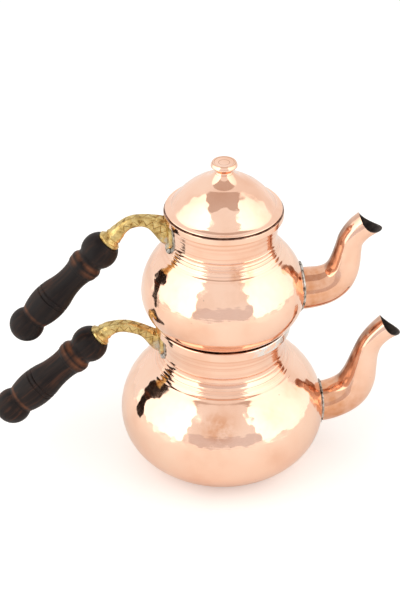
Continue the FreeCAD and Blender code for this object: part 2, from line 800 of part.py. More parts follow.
def make_bracket_solder(vessel):
    """Tin that has run out round the foot, a thin skin with the foot's shape left open."""
    body = new_body(f"{vessel.name}_bracket_solder")
    margin = size("smear_margin")
    low = vessel.foot_low - margin
    high = vessel.foot_high
    wide = size("foot_half_width")
    tip = size("foot_tip_radius")
    foot_plate(body, vessel, "smear", size("smear_thickness"), low, high, wide + margin)
    trim_leaf(body, vessel, "smear_trim", low, high, wide + margin, tip + margin)
    over = size("cut_overrun")
    gap = size("fit_gap")
    corners, bends = leaf_corners(low + margin - gap, high + over, wide + gap, tip)
    sketch = new_sketch(body, "foot_window_outline", "YZ_Plane")
    draw_outline(sketch, corners, bends)
    pocket(body, "foot_window", sketch, vessel.belly + over)
    carve_rings(body, vessel)
    set_height(body, vessel.base)
    return body


# Rivets: a shank through wall and foot, with its head inside the neck
def rivet_height(vessel):
    return (vessel.foot_low + vessel.foot_high) / 2


def rivet_turn(vessel, side):
    """The angle from the middle plane at which a rivet points at the axis."""
    return arcsine(size("rivet_spread") / vessel.waist) * side


def make_rivets(vessel):
    name = f"{vessel.name}_bracket_rivets"
    radius = size("rivet_radius")
    inner_wall = vessel.waist - WALL - size("fit_gap")
    head = size("rivet_head_height")
    head_radius = size("rivet_head_radius")
    seat = leg(inner_wall, head_radius)
    height = rivet_height(vessel)
    shank_end = vessel.neck_radius(height, NOTHING) + size("foot_thickness") - size("fit_gap")
    rivets = []
    for side in (-1, 1):
        tag = "left" if side < 0 else "right"
        shank = document.addObject("Part::Cylinder", f"{name}_shank_{tag}")
        shank.setExpression("Radius", radius.text)
        shank.setExpression("Height", (shank_end - seat + head / 2).text)
        button = document.addObject("Part::Cone", f"{name}_head_{tag}")
        button.setExpression("Radius1", (head_radius - head / 2).text)
        button.setExpression("Radius2", head_radius.text)
        button.setExpression("Height", head.text)
        turn = rivet_turn(vessel, side)
        for item, distance in ((shank, seat - head / 2), (button, seat - head)):
            place = (-(distance * cosine(turn)), -(distance * sine(turn)), vessel.base + height)
            direction = Rotation(Vector(0, 0, 1), turn.value) * Rotation(Vector(0, 1, 0), -90)
            item.Placement = Placement(Vector(*(part.value for part in place)), direction)
            for letter, part in zip("xyz", place):
                item.setExpression(f"Placement.Base.{letter}", part.text)
        rivet = document.addObject("Part::Fuse", f"{name}_{tag}")
        rivet.Base = shank
        rivet.Tool = button
        rivets.append(rivet)
    group = document.addObject("Part::Compound", name)
    group.Links = rivets
    group.Label = name
    return group


def cut_rivet_holes(body, vessel):
    """Two bores that point at the axis, either side of the bracket's middle."""
    bore = size("rivet_radius") + size("fit_gap")
    reach = vessel.waist + size("foot_thickness") + size("cut_overrun")
    for side in (-1, 1):
        tag = "left" if side < 0 else "right"
        sketch = new_sketch(body, f"rivet_hole_{tag}", "XZ_Plane",
                            (NOTHING, rivet_height(vessel), NOTHING), (0, 1, 0),
                            rivet_turn(vessel, side))
        draw_outline(sketch, [(NOTHING, NOTHING), (-reach, NOTHING), (-reach, bore),
                              (NOTHING, bore)], [None] * 4)
        feature = body.newObject("PartDesign::Groove", f"rivet_hole_cut_{tag}")
        feature.Profile = sketch
        feature.ReferenceAxis = (sketch, ["H_Axis"])
        feature.Angle = 360.0


# Grips: turned wood, bored for the steel stud
def grip_place(vessel):
    out, up = arm_point(vessel, 1, 1)
    distance = size("ferrule_length") + size("grip_start")
    droop = vessel.own("handle_droop")
    return (-(out + distance * cosine(droop)), up - distance * sine(droop) + vessel.base)


def lay_along_handle(body, vessel):
    across, up = grip_place(vessel)
    turn = handle_turn(vessel)
    body.Placement = Placement(Vector(across.value, 0, up.value),
                               Rotation(Vector(0, -1, 0), turn.value))
    body.setExpression("Placement.Base.x", across.text)
    body.setExpression("Placement.Base.z", up.text)
    body.setExpression("Placement.Rotation.Angle", f"{turn.text} * 1 deg")


def make_grip(vessel):
    body = new_body(f"{vessel.name}_grip")
    span = vessel.own("grip_span")
    ball = size("grip_first_ball_radius")
    start = size("grip_start")
    groove = (vessel.own("grip_groove_radius"), span * GRIP_GROOVE_SHARE)
    collar = (vessel.own("grip_collar_radius"), span * GRIP_COLLAR_SHARE)
    waist = (vessel.own("grip_waist_radius"), span * GRIP_WAIST_SHARE)
    belly = (vessel.own("grip_belly_radius"), span * GRIP_BELLY_SHARE)
    end_ball = (vessel.own("grip_end_ball_radius"), span)
    end_radius = vessel.own("grip_end_groove_radius")
    ball_start = (end_radius, span - leg(end_ball[0], end_radius))
    end_groove = (end_radius, ball_start[1] - size("grip_end_groove_width"))
    flank = ((waist[0] + belly[0]) / 2, (waist[1] + belly[1]) / 2)
    flank_bend = swing(belly[1] - waist[1], belly[0] - waist[0]) / 2
    end_bend = swing(end_groove[1] - belly[1], belly[0] - end_groove[0])
    bore = size("stud_radius") + size("fit_gap")
    bore_end = size("stud_in_grip") + size("fit_gap") - start
    ball_end = (groove[0], leg(ball, groove[0]))
    line_depth = size("grip_line_depth")
    collar_rise = collar[1] - groove[1]
    tip = span + leg(end_ball[0], bore)
    corners = [
        (bore, -start),
        (leg(ball, start), -start),
        ball_end,
        groove,
        collar,
        (collar[0] - (line_depth * 2), collar[1] + collar_rise),
        waist,
        flank,
        belly,
        end_groove,
        ball_start,
        end_ball,
        (bore, tip),
        (NOTHING, tip),
        (NOTHING, bore_end),
        (bore, bore_end),
    ]
    bends = [None, ball, -(groove[1] - ball_end[1]), collar_rise, collar_rise * GRIP_HOLLOW_SHARE,
             -(span / 2), -flank_bend, flank_bend, end_bend, None, end_ball[0], end_ball[0],
             None, None, None, None]
    sketch = new_sketch(body, "turned_outline")
    draw_outline(sketch, corners, bends)
    revolve(body, "turned_wood", sketch)
    for index, share in enumerate(GRIP_LINE_SHARES):
        middle = span * share
        width = size("grip_line_width")
        skin = belly[0] - flank_bend + leg(flank_bend, belly[1] - middle)
        far = skin + line_depth
        sketch = new_sketch(body, f"line_outline_{index}")
        draw_outline(sketch, [(skin - line_depth, middle), (far, middle - width),
                              (far, middle + width)], [None] * 3)
        revolve(body, f"line_{index}", sketch, cut=True)
    lay_along_handle(body, vessel)
    return body


def make_stud(vessel):
    body = new_body(f"{vessel.name}_grip_stud")
    start = size("grip_start")
    sketch = new_sketch(body, "stud_outline")
    low = -(start + size("stud_in_ferrule"))
    high = size("stud_in_grip") - start
    radius = size("stud_radius")
    draw_outline(sketch, [(NOTHING, low), (radius, low), (radius, high), (NOTHING, high)], [None] * 4)
    revolve(body, "stud", sketch)
    lay_along_handle(body, vessel)
    return body


# Lid: spun dome, locating collar, turned knob with its screw and washer
def make_lid_dome():
    body = new_body("lid_dome")
    sheet_thick = size("lid_sheet")
    brim = POT.rim_radius - size("lid_brim_inset")
    edge = size("lid_brim_edge")
    foot = (COLLAR_RADIUS + size("lid_dome_foot_step"), size("lid_dome_foot_height"))
    cone = (size("lid_cone_radius"), size("lid_cone_height"))
    seat = (size("lid_seat_radius"), size("lid_seat_height"))
    dome = size("lid_dome_radius")
    bend = size("lid_cone_bend_radius")
    hole = size("screw_radius") + size("fit_gap")
    corners = [
        (brim - edge / 2, NOTHING),
        (brim, edge / 2),
        (brim - edge / 2, edge),
        foot,
        cone,
        seat,
        (hole, seat[1]),
        (hole, seat[1] - sheet_thick),
        (seat[0] - sheet_thick / 2, seat[1] - sheet_thick),
        (cone[0] - sheet_thick / 2, cone[1] - sheet_thick),
        (foot[0] - sheet_thick / 2, foot[1] - sheet_thick),
        (foot[0] - sheet_thick, NOTHING),
    ]
    bends = [edge / 2, edge / 2, None, dome, -bend, None, None, None, bend + sheet_thick,
             -(dome - sheet_thick), None, None]
    sketch = new_sketch(body, "dome_outline")
    draw_outline(sketch, corners, bends)
    revolve(body, "spun_dome", sketch)
    set_height(body, LID_BASE)
    return body


def make_ring(name, outer, inner, low, high):
    body = new_body(name)
    sketch = new_sketch(body, f"{name}_outline")
    draw_outline(sketch, [(inner, low), (outer, low), (outer, high), (inner, high)], [None] * 4)
    revolve(body, f"{name}_ring", sketch)
    set_height(body, LID_BASE)
    return body


def make_lid_collar():
    return make_ring("lid_collar", COLLAR_RADIUS, COLLAR_RADIUS - size("collar_wall"),
                     -size("collar_height"), NOTHING)


def make_knob():
    body = new_body("lid_knob")
    base = size("lid_seat_height")
    head = size("knob_head_radius")
    head_height = base + size("knob_head_height")
    top = base + size("knob_height")
    dish = size("knob_dish_radius")
    dish_depth = size("knob_dish_depth")
    waist = (size("knob_waist_radius"), base + size("knob_waist_height"))
    hole = size("screw_radius") + size("fit_gap")
    hole_end = base + size("screw_depth") + size("fit_gap")
    dish_bend = (dish * dish + dish_depth * dish_depth) / (dish_depth * 2)
    corners = [
        (hole, base),
        (size("lid_seat_radius") - size("knob_base_step"), base),
        waist,
        (head, head_height),
        (size("knob_top_radius"), top),
        (dish, top),
        (NOTHING, top - dish_depth),
        (NOTHING, hole_end),
        (hole, hole_end),
    ]
    bends = [None, None, -((head_height - waist[1]) * KNOB_HOLLOW_SHARE), top - head_height, None,
             -dish_bend, None, None, None]
    sketch = new_sketch(body, "knob_outline")
    draw_outline(sketch, corners, bends)
    revolve(body, "turned_knob", sketch)
    set_height(body, LID_BASE)
    return body


def make_screw():
    body = new_body("lid_knob_screw")
    seat = size("lid_seat_height") - size("lid_sheet") - size("washer_thickness")
    top = size("lid_seat_height") + size("screw_depth")
    shank = size("screw_radius")
    head = size("screw_head_radius")
    low = seat - size("screw_head_height")
    crown = size("screw_head_height") / 2
    sketch = new_sketch(body, "screw_outline")
    draw_outline(sketch, [(NOTHING, low), (head - crown, low), (head, low + crown), (head, seat),
                          (shank, seat), (shank, top), (NOTHING, top)],
                 [None, crown, None, None, None, None, None])
    revolve(body, "screw", sketch)
    set_height(body, LID_BASE)
    return body


def make_washer():
    top = size("lid_seat_height") - size("lid_sheet")
    inner = size("screw_radius") + size("fit_gap")
    return make_ring("lid_knob_washer", size("washer_radius"), inner,
                     top - size("washer_thickness"), top)


# Assembly
parts_made = []
for vessel, spout_shares, lip_shares, arm_shares in (
        (KETTLE, KETTLE_SPOUT_SHARES, KETTLE_LIP_SHARES, KETTLE_ARM_SHARES),
        (POT, POT_SPOUT_SHARES, POT_LIP_SHARES, POT_ARM_SHARES)):
    shell = make_shell(vessel)
    if vessel is KETTLE:
        cut_spout_hole(shell, vessel)
    else:
        cut_strainer(shell, vessel)
    cut_rivet_holes(shell, vessel)
    bracket = make_bracket(vessel, arm_shares)
    cut_rivet_holes(bracket, vessel)
    parts_made += [shell, make_spout(vessel, spout_shares, lip_shares),
                   make_spout_solder(vessel, spout_shares), bracket, make_bracket_solder(vessel),
                   make_rivets(vessel), make_grip(vessel), make_stud(vessel)]
parts_made += [make_lid_dome(), make_lid_collar(), make_knob(), make_screw(), make_washer()]
document.recompute()

for item in document.Objects:
    if "Invalid" in item.State or "Error" in item.State:
        raise RuntimeError(f"{item.Name} failed: {item.State}")
os.makedirs("parts", exist_ok=True)
for part in parts_made:
    shape = part.Shape
    if shape.isNull() or not shape.isValid() or not shape.Solids:
        raise RuntimeError(f"{part.Label} has no valid solid")
for part in parts_made:
    part.Shape.exportStep(f"parts/{part.Label}.step")
    print(part.Label, len(part.Shape.Solids), round(part.Shape.Volume, 1))
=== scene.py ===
# %% [markdown]
# # A copper double teapot
# A large kettle stands on its flat base, a smaller brewing pot sits in the kettle's mouth, and a
# domed lid closes the pot. The solids of every part already exist in a shared frame. In this
# lesson the parts that catch the eye are modelled again with finer detail, and everything gets a
# finish.

import math

import bpy
from mathutils import Matrix, Vector


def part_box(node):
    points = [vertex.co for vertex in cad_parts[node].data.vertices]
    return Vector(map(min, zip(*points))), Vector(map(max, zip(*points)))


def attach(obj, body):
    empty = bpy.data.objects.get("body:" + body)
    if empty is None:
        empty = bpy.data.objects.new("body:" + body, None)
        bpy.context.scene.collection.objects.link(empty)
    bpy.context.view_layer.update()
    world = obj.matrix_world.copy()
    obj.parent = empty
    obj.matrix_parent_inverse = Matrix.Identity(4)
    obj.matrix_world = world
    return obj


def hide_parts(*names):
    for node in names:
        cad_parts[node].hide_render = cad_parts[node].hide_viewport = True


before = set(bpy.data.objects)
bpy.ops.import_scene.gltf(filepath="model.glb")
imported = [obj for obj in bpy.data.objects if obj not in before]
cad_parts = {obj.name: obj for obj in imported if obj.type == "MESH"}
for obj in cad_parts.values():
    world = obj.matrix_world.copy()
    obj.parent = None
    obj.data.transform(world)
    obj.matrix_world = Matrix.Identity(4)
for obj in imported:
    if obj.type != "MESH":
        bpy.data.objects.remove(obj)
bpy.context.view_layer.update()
mm = 0.001
print("parts in the frame:", len(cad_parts))

# %% [markdown]
# ## The camera
# The photograph looks down on the teapot by a third of a right angle, from a little to the left of
# straight ahead, through a long lens. A long lens keeps the vessels' rims nearly parallel. The
# camera could be placed by eye, but distances measured in the photograph give its place directly.

# %% Camera
view_turn = math.radians(6)
view_drop = math.radians(33.42)
view_distance = 1568 * mm
view_sidestep = 19.8 * mm
look_at = Vector((0, 0, 162.1 * mm))
sensor_width, lens_length = 36, 109.1  # in millimetres, as Blender counts them

to_camera = Vector((-math.sin(view_turn) * math.cos(view_drop),
                    -math.cos(view_turn) * math.cos(view_drop), math.sin(view_drop)))
to_right = Vector((math.cos(view_turn), -math.sin(view_turn), 0))
bpy.ops.object.camera_add(location=look_at + to_camera * view_distance - to_right * view_sidestep)
camera = bpy.context.object
camera.rotation_mode = "QUATERNION"
camera.rotation_quaternion = (-to_camera).to_track_quat("-Z", "Y")
camera.data.sensor_width = sensor_width
camera.data.lens = lens_length
bpy.context.scene.camera = camera
print("camera stands", round(camera.location.length, 3), "m from the origin")

# %% [markdown]
# ## A shorthand for nodes
# The room, the lamps and every finish are built from shader nodes. Each node could be added, set
# and linked line by line, but the same few steps return everywhere. So a class holds one node tree
# and adds a node in a single call. An input takes either another node's output, which is then
# linked, or a plain value, which is written into it.

# %% Node trees
class NodeTree:
    """The node tree of a world, a lamp or a material."""

    def __init__(self, owner):
        owner.use_nodes = True
        self.nodes, self.links = owner.node_tree.nodes, owner.node_tree.links

    def feed(self, socket, value):
        if isinstance(value, bpy.types.NodeSocket):
            self.links.new(value, socket)
        else:
            socket.default_value = value

    def add(self, kind, inputs, output=0, **options):
        """Add a node with its options, then its inputs, and return one of its outputs."""
        node = self.nodes.new(kind)
        for option, value in options.items():
            setattr(node, option, value)
        for name, value in inputs.items():
            self.feed(node.inputs[name], value)
        return node.outputs[output] if node.outputs else None

    def calculated(self, operation, *values):
        return self.add("ShaderNodeMath", dict(enumerate(values)), operation=operation)

    def both(self, first, second):
        """A mask that holds where two masks hold."""
        return self.calculated("MULTIPLY", first, second)

    def spread(self, value, low, high, low_becomes=0.0, high_becomes=1.0):
        """Read a value between low and high as a number between two others."""
        return self.add("ShaderNodeMapRange",
                        {"Value": value, "From Min": low, "From Max": high,
                         "To Min": low_becomes, "To Max": high_becomes}, "Result")

    def coordinate(self, vector, axis):
        return self.add("ShaderNodeSeparateXYZ", {"Vector": vector}, axis)

    def length(self, vector):
        return self.add("ShaderNodeVectorMath", {0: vector}, "Value", operation="LENGTH")


print("node steps:", [step for step in vars(NodeTree) if not step.startswith("_")])

# %% [markdown]
# ## The white room
# Polished copper shows its surroundings more than its own colour, so the studio matters as much as
# the metal, and a white room gives the clean peach tone. The white that the camera sees comes from
# the room's own colour and not from lamps. Light Path tells the rays apart: what the camera, a
# mirror or glass sees is plain white, and the light that falls on the teapot is a little dimmer
# and warmer.

# %% Room
bpy.context.scene.view_settings.view_transform = "Standard"
room_tint, room_strength, seen_strength = (1.0, 0.985, 0.96, 1), 0.82, 1.0
white = (1, 1, 1, 1)

room = bpy.data.worlds.new("white_room")
bpy.context.scene.world = room
tree = NodeTree(room)
tree.nodes.clear()
rays = tree.nodes.new("ShaderNodeLightPath").outputs
seen = tree.calculated("MAXIMUM", rays["Is Camera Ray"], rays["Is Glossy Ray"])
seen = tree.calculated("MAXIMUM", seen, rays["Is Transmission Ray"])
on_teapot = tree.add("ShaderNodeBackground", {"Color": room_tint, "Strength": room_strength})
in_view = tree.add("ShaderNodeBackground", {"Color": white, "Strength": seen_strength})
mixed = tree.add("ShaderNodeMixShader", {"Fac": seen, 1: on_teapot, 2: in_view})
tree.add("ShaderNodeOutputWorld", {"Surface": mixed})
print("room nodes:", len(tree.nodes))

# %% [markdown]
# ## The floor
# The teapot stands on white paper, which is a plain plane here. It is lifted a little where the
# camera sees it, so that only a faint shadow is left, and far away where the copper mirrors it, so
# that floor and room meet without a grey line. Both lifts are a glow that Light Path keeps from
# lighting the teapot.

# %% Floor
floor_side, floor_drop = 8, 0.1 * mm
paper_white = (0.93, 0.93, 0.93, 1)
camera_lift, mirror_lift, lift_starts, lift_ends = 0.22, 0.24, 0.5, 2.0

bpy.ops.object.select_all(action="DESELECT")
bpy.ops.mesh.primitive_plane_add(size=floor_side, location=(0, 0, -floor_drop))
floor = bpy.context.object
floor.name = "floor"
floor_paint = bpy.data.materials.new("floor_white")
tree = NodeTree(floor_paint)
rays = tree.nodes.new("ShaderNodeLightPath").outputs
from_middle = tree.length(tree.add("ShaderNodeTexCoord", {}, "Object"))
far_glow = tree.spread(from_middle, lift_starts, lift_ends, 0, mirror_lift)
near_glow = tree.calculated("MULTIPLY", rays["Is Camera Ray"], camera_lift)
glow = tree.calculated("MULTIPLY_ADD", rays["Is Glossy Ray"], far_glow, near_glow)
for name, value in (("Base Color", paper_white), ("Roughness", 0.9), ("Emission Color", white),
                    ("Emission Strength", glow)):
    tree.feed(tree.nodes["Principled BSDF"].inputs[name], value)
floor.data.materials.append(floor_paint)
print("floor nodes:", len(tree.nodes))

# %% [markdown]
# ## Soft boxes
# Two soft boxes, as large as doors and close by, give the broad cream patches left and right of
# the middle. Small spots would show as hard highlights, and a large box of one brightness would
# leave flat patches. So each box is large and fades across its width, through a reading of the
# place on it.

# %% Soft boxes
def studio_place(right, back, height):
    """A place in the studio, counted from the teapot as the camera sees it."""
    away = Vector((-to_camera.x, -to_camera.y, 0)).normalized()
    return to_right * right + away * back + Vector((0, 0, height))


def face_towards(thing, target):
    thing.rotation_mode = "QUATERNION"
    thing.rotation_quaternion = (target - thing.location).to_track_quat("-Z", "Y")


def soft_lamp(name, place, size, watts, tint, target, fade):
    """A large lamp that faces a target and fades from one end of its width to the other."""
    bpy.ops.object.light_add(type="AREA", location=place)
    lamp = bpy.context.object
    lamp.name = name
    lamp.data.shape = "RECTANGLE"
    lamp.data.size, lamp.data.size_y = size
    lamp.data.energy, lamp.data.color = watts, tint
    face_towards(lamp, target)
    tree = NodeTree(lamp.data)
    across = tree.coordinate(tree.add("ShaderNodeNewGeometry", {}, "Parametric"), "X")
    tree.feed(tree.nodes["Emission"].inputs["Strength"], tree.spread(across, 0, 1, *fade))


warm_white = (1.0, 0.97, 0.90)
box_size = (1.4, 1.44)
box_side, box_back, box_height = 0.80, -0.32, 0.74
box_target = studio_place(0, box_back, 0.85 * box_height)
for name, side, watts, fade in (("soft_box_left", -1, 6.8, (0.5, 1.5)),
                                ("soft_box_right", 1, 5.0, (1.5, 0.5))):
    place = studio_place(side * box_side, box_back, box_height)
    soft_lamp(name, place, box_size, watts, warm_white, box_target, fade)

# %% [markdown]
# ## Reflected cards
# Duller cards, one low behind the camera and one overhead, give the mauve band round each belly
# and the dark patch on the lid, as a photographer would place them. They could be lamps too, but a
# card that only reflections see shapes the copper and adds no light.

# %% Cards
def reflected_card(name, place, wide, tall, colour):
    """A card that only shows in reflections."""
    bpy.ops.object.select_all(action="DESELECT")
    bpy.ops.mesh.primitive_plane_add(size=1, location=place)
    card = bpy.context.object
    card.name = name
    card.scale = (wide, tall, 1)
    face_towards(card, look_at)
    bpy.ops.object.transform_apply(location=True, rotation=True, scale=True)
    card.visible_camera = card.visible_diffuse = card.visible_shadow = False
    paint = bpy.data.materials.new(f"{name}_paint")
    tree = NodeTree(paint)
    tree.nodes.clear()
    tree.add("ShaderNodeOutputMaterial",
             {"Surface": tree.add("ShaderNodeEmission", {"Color": (*colour, 1)})})
    card.data.materials.append(paint)


reflected_card("card_front", studio_place(0, -1.95, 0.36), 3.0, 0.72, (0.80, 0.77, 0.80))
reflected_card("card_ceiling", studio_place(0, -0.14, 2.1), 2.1, 1.3, (0.66, 0.57, 0.53))

# %% [markdown]
# ## Small steps that return
# An operator acts on all that is selected, so a piece is always chosen alone first. A primitive's
# place and turn go into its mesh at once, which leaves the object at the origin. A modifier could
# stay live, but it is applied here as soon as it is set, so that each step starts from a real
# mesh.

# %% Choose, name, modify
def choose(piece):
    """Select one piece alone and make it the active one."""
    bpy.ops.object.select_all(action="DESELECT")
    piece.select_set(True)
    bpy.context.view_layer.objects.active = piece


def named(name):
    """Name the primitive that was just added, with its place put into its mesh."""
    piece = bpy.context.object
    bpy.ops.object.transform_apply(location=True, rotation=True, scale=True)
    piece.name = name
    piece.data.name = name
    return piece


def modify(piece, kind, **settings):
    """Give a piece a modifier with these settings and apply it."""
    choose(piece)
    modifier = piece.modifiers.new(kind.lower(), kind)
    for setting, value in settings.items():
        setattr(modifier, setting, value)
    bpy.ops.object.modifier_apply(modifier=modifier.name)


def report(piece):
    triangles = sum(len(face.vertices) - 2 for face in piece.data.polygons)
    low = [min(vert.co[axis] for vert in piece.data.vertices) / mm for axis in range(3)]
    high = [max(vert.co[axis] for vert in piece.data.vertices) / mm for axis in range(3)]
    print(piece.name, triangles, "triangles, from", [round(v, 1) for v in low], "to",
          [round(v, 1) for v in high])


# %% [markdown]
# ## Turning on a lathe
# Both vessels, the lid, its knob and the wooden grips are round, because the real ones are spun or
# turned. A subdivided sphere could be pushed into shape, but a lathe does what the maker does: one
# outline is drawn point by point and swung round the axis. The outline starts as a plane that is
# merged to a single point, and each further point is extruded from the last.

# %% Lathe
def start_mesh_at(point, name):
    """A mesh of one point, selected, in edit mode."""
    bpy.ops.object.select_all(action="DESELECT")
    bpy.ops.mesh.primitive_plane_add(size=1 * mm, location=point)
    piece = named(name)
    bpy.ops.object.mode_set(mode="EDIT")
    bpy.ops.mesh.select_all(action="SELECT")
    bpy.ops.mesh.merge(type="CENTER")
    return piece


def turned(name, outline, steps):
    """Swing an outline of (radius, height) in metres round the upright axis."""
    points = [Vector((radius, 0, height)) for radius, height in outline]
    piece = start_mesh_at(points[0], name)
    for last, following in zip(points, points[1:]):
        bpy.ops.mesh.extrude_region_move(TRANSFORM_OT_translate={"value": following - last})
    bpy.ops.mesh.select_all(action="SELECT")
    bpy.ops.mesh.spin(steps=steps, angle=2 * math.pi, center=(0, 0, 0), axis=(0, 0, 1))
    bpy.ops.mesh.select_all(action="SELECT")
    bpy.ops.mesh.remove_doubles(threshold=0.002 * mm)
    bpy.ops.mesh.normals_make_consistent(inside=False)
    bpy.ops.object.mode_set(mode="OBJECT")
    bpy.ops.object.shade_smooth_by_angle(angle=math.radians(40))
    return piece


print("the lathe merges points closer than 0.002 mm and smooths edges under 40 degrees")

# %% [markdown]
# ## Arcs for outlines
# A maker's outline is a chain of arcs, not a free curve, so two ways of drawing one are enough.
# The first knows its centre and its turns in degrees. The second only knows where it starts and
# ends and how wide it bends. Both place points about as far apart as they are told to.

# %% Arcs
def arc(centre, radius, start, end, gap):
    """Points (radius, height) along an arc in degrees, about gap apart, without its first point."""
    count = max(2, math.ceil(abs(math.radians(end - start)) * radius / gap))
    turns = [math.radians(start + (end - start) * step / count) for step in range(1, count + 1)]
    return [(centre[0] + radius * math.cos(turn), centre[1] + radius * math.sin(turn))
            for turn in turns]


def arc_through(start, end, radius, gap):
    """Points from start to end on an arc that turns left, or right where radius is negative."""
    chord = Vector((end[0] - start[0], end[1] - start[1]))
    side = Vector((-chord.y, chord.x)).normalized()
    inward = math.sqrt(radius ** 2 - chord.length ** 2 / 4) * (1 if radius > 0 else -1)
    centre = (Vector(start) + Vector(end)) / 2 + side * inward
    first = math.atan2(start[1] - centre.y, start[0] - centre.x)
    sweep = 2 * math.asin(chord.length / 2 / abs(radius)) * (1 if radius > 0 else -1)
    count = max(2, math.ceil(abs(sweep * radius) / gap))
    return [(centre.x + abs(radius) * math.cos(first + sweep * step / count),
             centre.y + abs(radius) * math.sin(first + sweep * step / count))
            for step in range(1, count + 1)]


print("a quarter turn of 10 mm radius has", len(arc((0, 0), 10 * mm, 0, 90, 1 * mm)), "points")

# %% [markdown]
# ## The outline of a vessel
# A spun vessel's side is a chain of arcs that run into each other: the rounded edge of the base,
# the bowl, the haunch, the side, the crown, then the hollow of the throat, the neck and the rolled
# rim. Writing the chain once, as a class, serves both vessels. Where two arcs meet, both have the
# same direction, so the reflection in the copper runs on without a break.

# %% Vessel outline
class Vessel:
    """Arcs of a spun vessel in metres. Heights are above its own base."""

    def __init__(self, base, belly, equator, side, crown, crown_join, haunch, bowl, bowl_join,
                 edge, waist, throat, neck, crease, top, overhang, band, wall=1.2 * mm):
        self.base, self.wall, self.crease, self.top = base, wall, crease, top
        self.belly, self.equator = belly, equator
        self.side, self.crown, self.haunch = side, crown, haunch
        self.bowl, self.edge, self.waist, self.throat, self.neck = bowl, edge, waist, throat, neck
        self.crown_join, self.bowl_join = crown_join, bowl_join
        self.side_at = (belly - side, equator)
        self.haunch_at = (belly - haunch, equator)
        turn = math.radians(crown_join)
        self.crown_at = (self.side_at[0] - (crown - side) * math.cos(turn),
                         equator - (crown - side) * math.sin(turn))
        turn = math.radians(bowl_join)
        self.bowl_at = (self.haunch_at[0] - (bowl - haunch) * math.cos(turn),
                        equator + (bowl - haunch) * math.sin(turn))
        self.edge_at = (self.bowl_at[0] + math.sqrt((bowl - edge) ** 2
                                                    - (self.bowl_at[1] - edge) ** 2), edge)
        across = waist + throat
        self.throat_at = (across, self.crown_at[1] + math.sqrt((crown + throat) ** 2
                                                               - (across - self.crown_at[0]) ** 2))
        self.neck_at = (waist + neck, self.throat_at[1])
        self.shoulder_turn = math.degrees(math.atan2(self.throat_at[1] - self.crown_at[1],
                                                     self.throat_at[0] - self.crown_at[0]))
        self.edge_turn = math.degrees(math.atan2(self.edge_at[1] - self.bowl_at[1],
                                                 self.edge_at[0] - self.bowl_at[0]))
        self.neck_turn = math.degrees(math.asin((crease - self.throat_at[1]) / neck))
        self.rim = self.neck_radius(crease) + overhang
        self.mouth = self.rim - band

    def neck_radius(self, height):
        rise = height - self.neck_at[1]
        return self.neck_at[0] - math.sqrt(self.neck ** 2 - rise ** 2)

    def side_wall(self, inset, gap, fine_gap):
        """From the middle of the base up to the crease, inside the skin by inset."""
        points = [(0, inset), (self.edge_at[0], inset)]
        points += arc(self.edge_at, self.edge - inset, -90, self.edge_turn, 2 * gap)
        points += arc(self.bowl_at, self.bowl - inset, self.edge_turn, -self.bowl_join, 2 * gap)
        points += arc(self.haunch_at, self.haunch - inset, -self.bowl_join, 0, 2 * gap)
        points += arc(self.side_at, self.side - inset, 0, self.crown_join, gap)
        points += arc(self.crown_at, self.crown - inset, self.crown_join, self.shoulder_turn, gap)
        points += arc(self.throat_at, self.throat + inset, 180 + self.shoulder_turn, 180, fine_gap)
        points += arc(self.neck_at, self.neck + inset, 180, 180 - self.neck_turn, gap)
        return points

    def rim_band(self, edge, step, flare):
        """Over the rolled rim, from outside to inside."""
        points = [(self.rim, self.crease + step)]
        points += [(self.rim, self.top - edge)]
        points += arc((self.rim - edge, self.top - edge), edge, 0, 90, edge / 4)
        points += [(self.mouth + edge, self.top)]
        points += arc((self.mouth + edge, self.top - edge), edge, 90, 180, edge / 4)
        points += [(self.mouth, self.crease + flare)]
        return points


kettle = Vessel(base=0, belly=90 * mm, equator=50 * mm, side=58.1 * mm, crown=78.7 * mm,
                crown_join=45.7, haunch=45.4 * mm, bowl=72.1 * mm, bowl_join=43.9, edge=12 * mm,
                waist=53.5 * mm, throat=20 * mm, neck=123 * mm, crease=136.2 * mm, top=145.2 * mm,
                overhang=3.52 * mm, band=3.4 * mm)
pot_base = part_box("pot_body")[0].z
pot = Vessel(base=pot_base, belly=70.4 * mm, equator=38.2 * mm, side=52.7 * mm, crown=64.2 * mm,
             crown_join=45.2, haunch=34 * mm, bowl=68.3 * mm, bowl_join=57.4, edge=6 * mm,
             waist=45.5 * mm, throat=17 * mm, neck=139 * mm, crease=111.8 * mm, top=118.6 * mm,
             overhang=3.53 * mm, band=3.5 * mm)
for name, vessel in (("kettle", kettle), ("pot", pot)):
    print(name, "waist at", round((vessel.base + vessel.throat_at[1]) / mm, 1), "mm, rim radius",
          round(vessel.rim / mm, 1), "mm")

# %% [markdown]
# ## Vessel shells with ring ridges
# While the vessel turns, the spinner leaves a few low ridges round its throat. They could be bumps
# in the material, but ridges in the outline bend the reflections as real ones do. The outline runs
# up the outside, over the rolled rim and down the inside, so one turn gives a shell with a real
# wall.

# %% Shells
ring_height, ring_half_width = 0.45 * mm, 0.75 * mm
rim_edge, rim_step, rim_flare = 1.2 * mm, 1.3 * mm, 3.6 * mm
kettle_turning_steps, pot_turning_steps = 380, 340


def with_rings(points, vessel, shares):
    """Raise low round ridges on the throat at shares of the way from shoulder to waist."""
    low = vessel.crown_at[1] + vessel.crown * math.sin(math.radians(vessel.shoulder_turn))
    rings = [low + (vessel.throat_at[1] - low) * share for share in shares]
    raised = []
    for radius, up in points:
        swell = max((1 - ((up - ring) / ring_half_width) ** 2 for ring in rings), default=0)
        raised.append((radius + ring_height * max(swell, 0), up))
    return raised


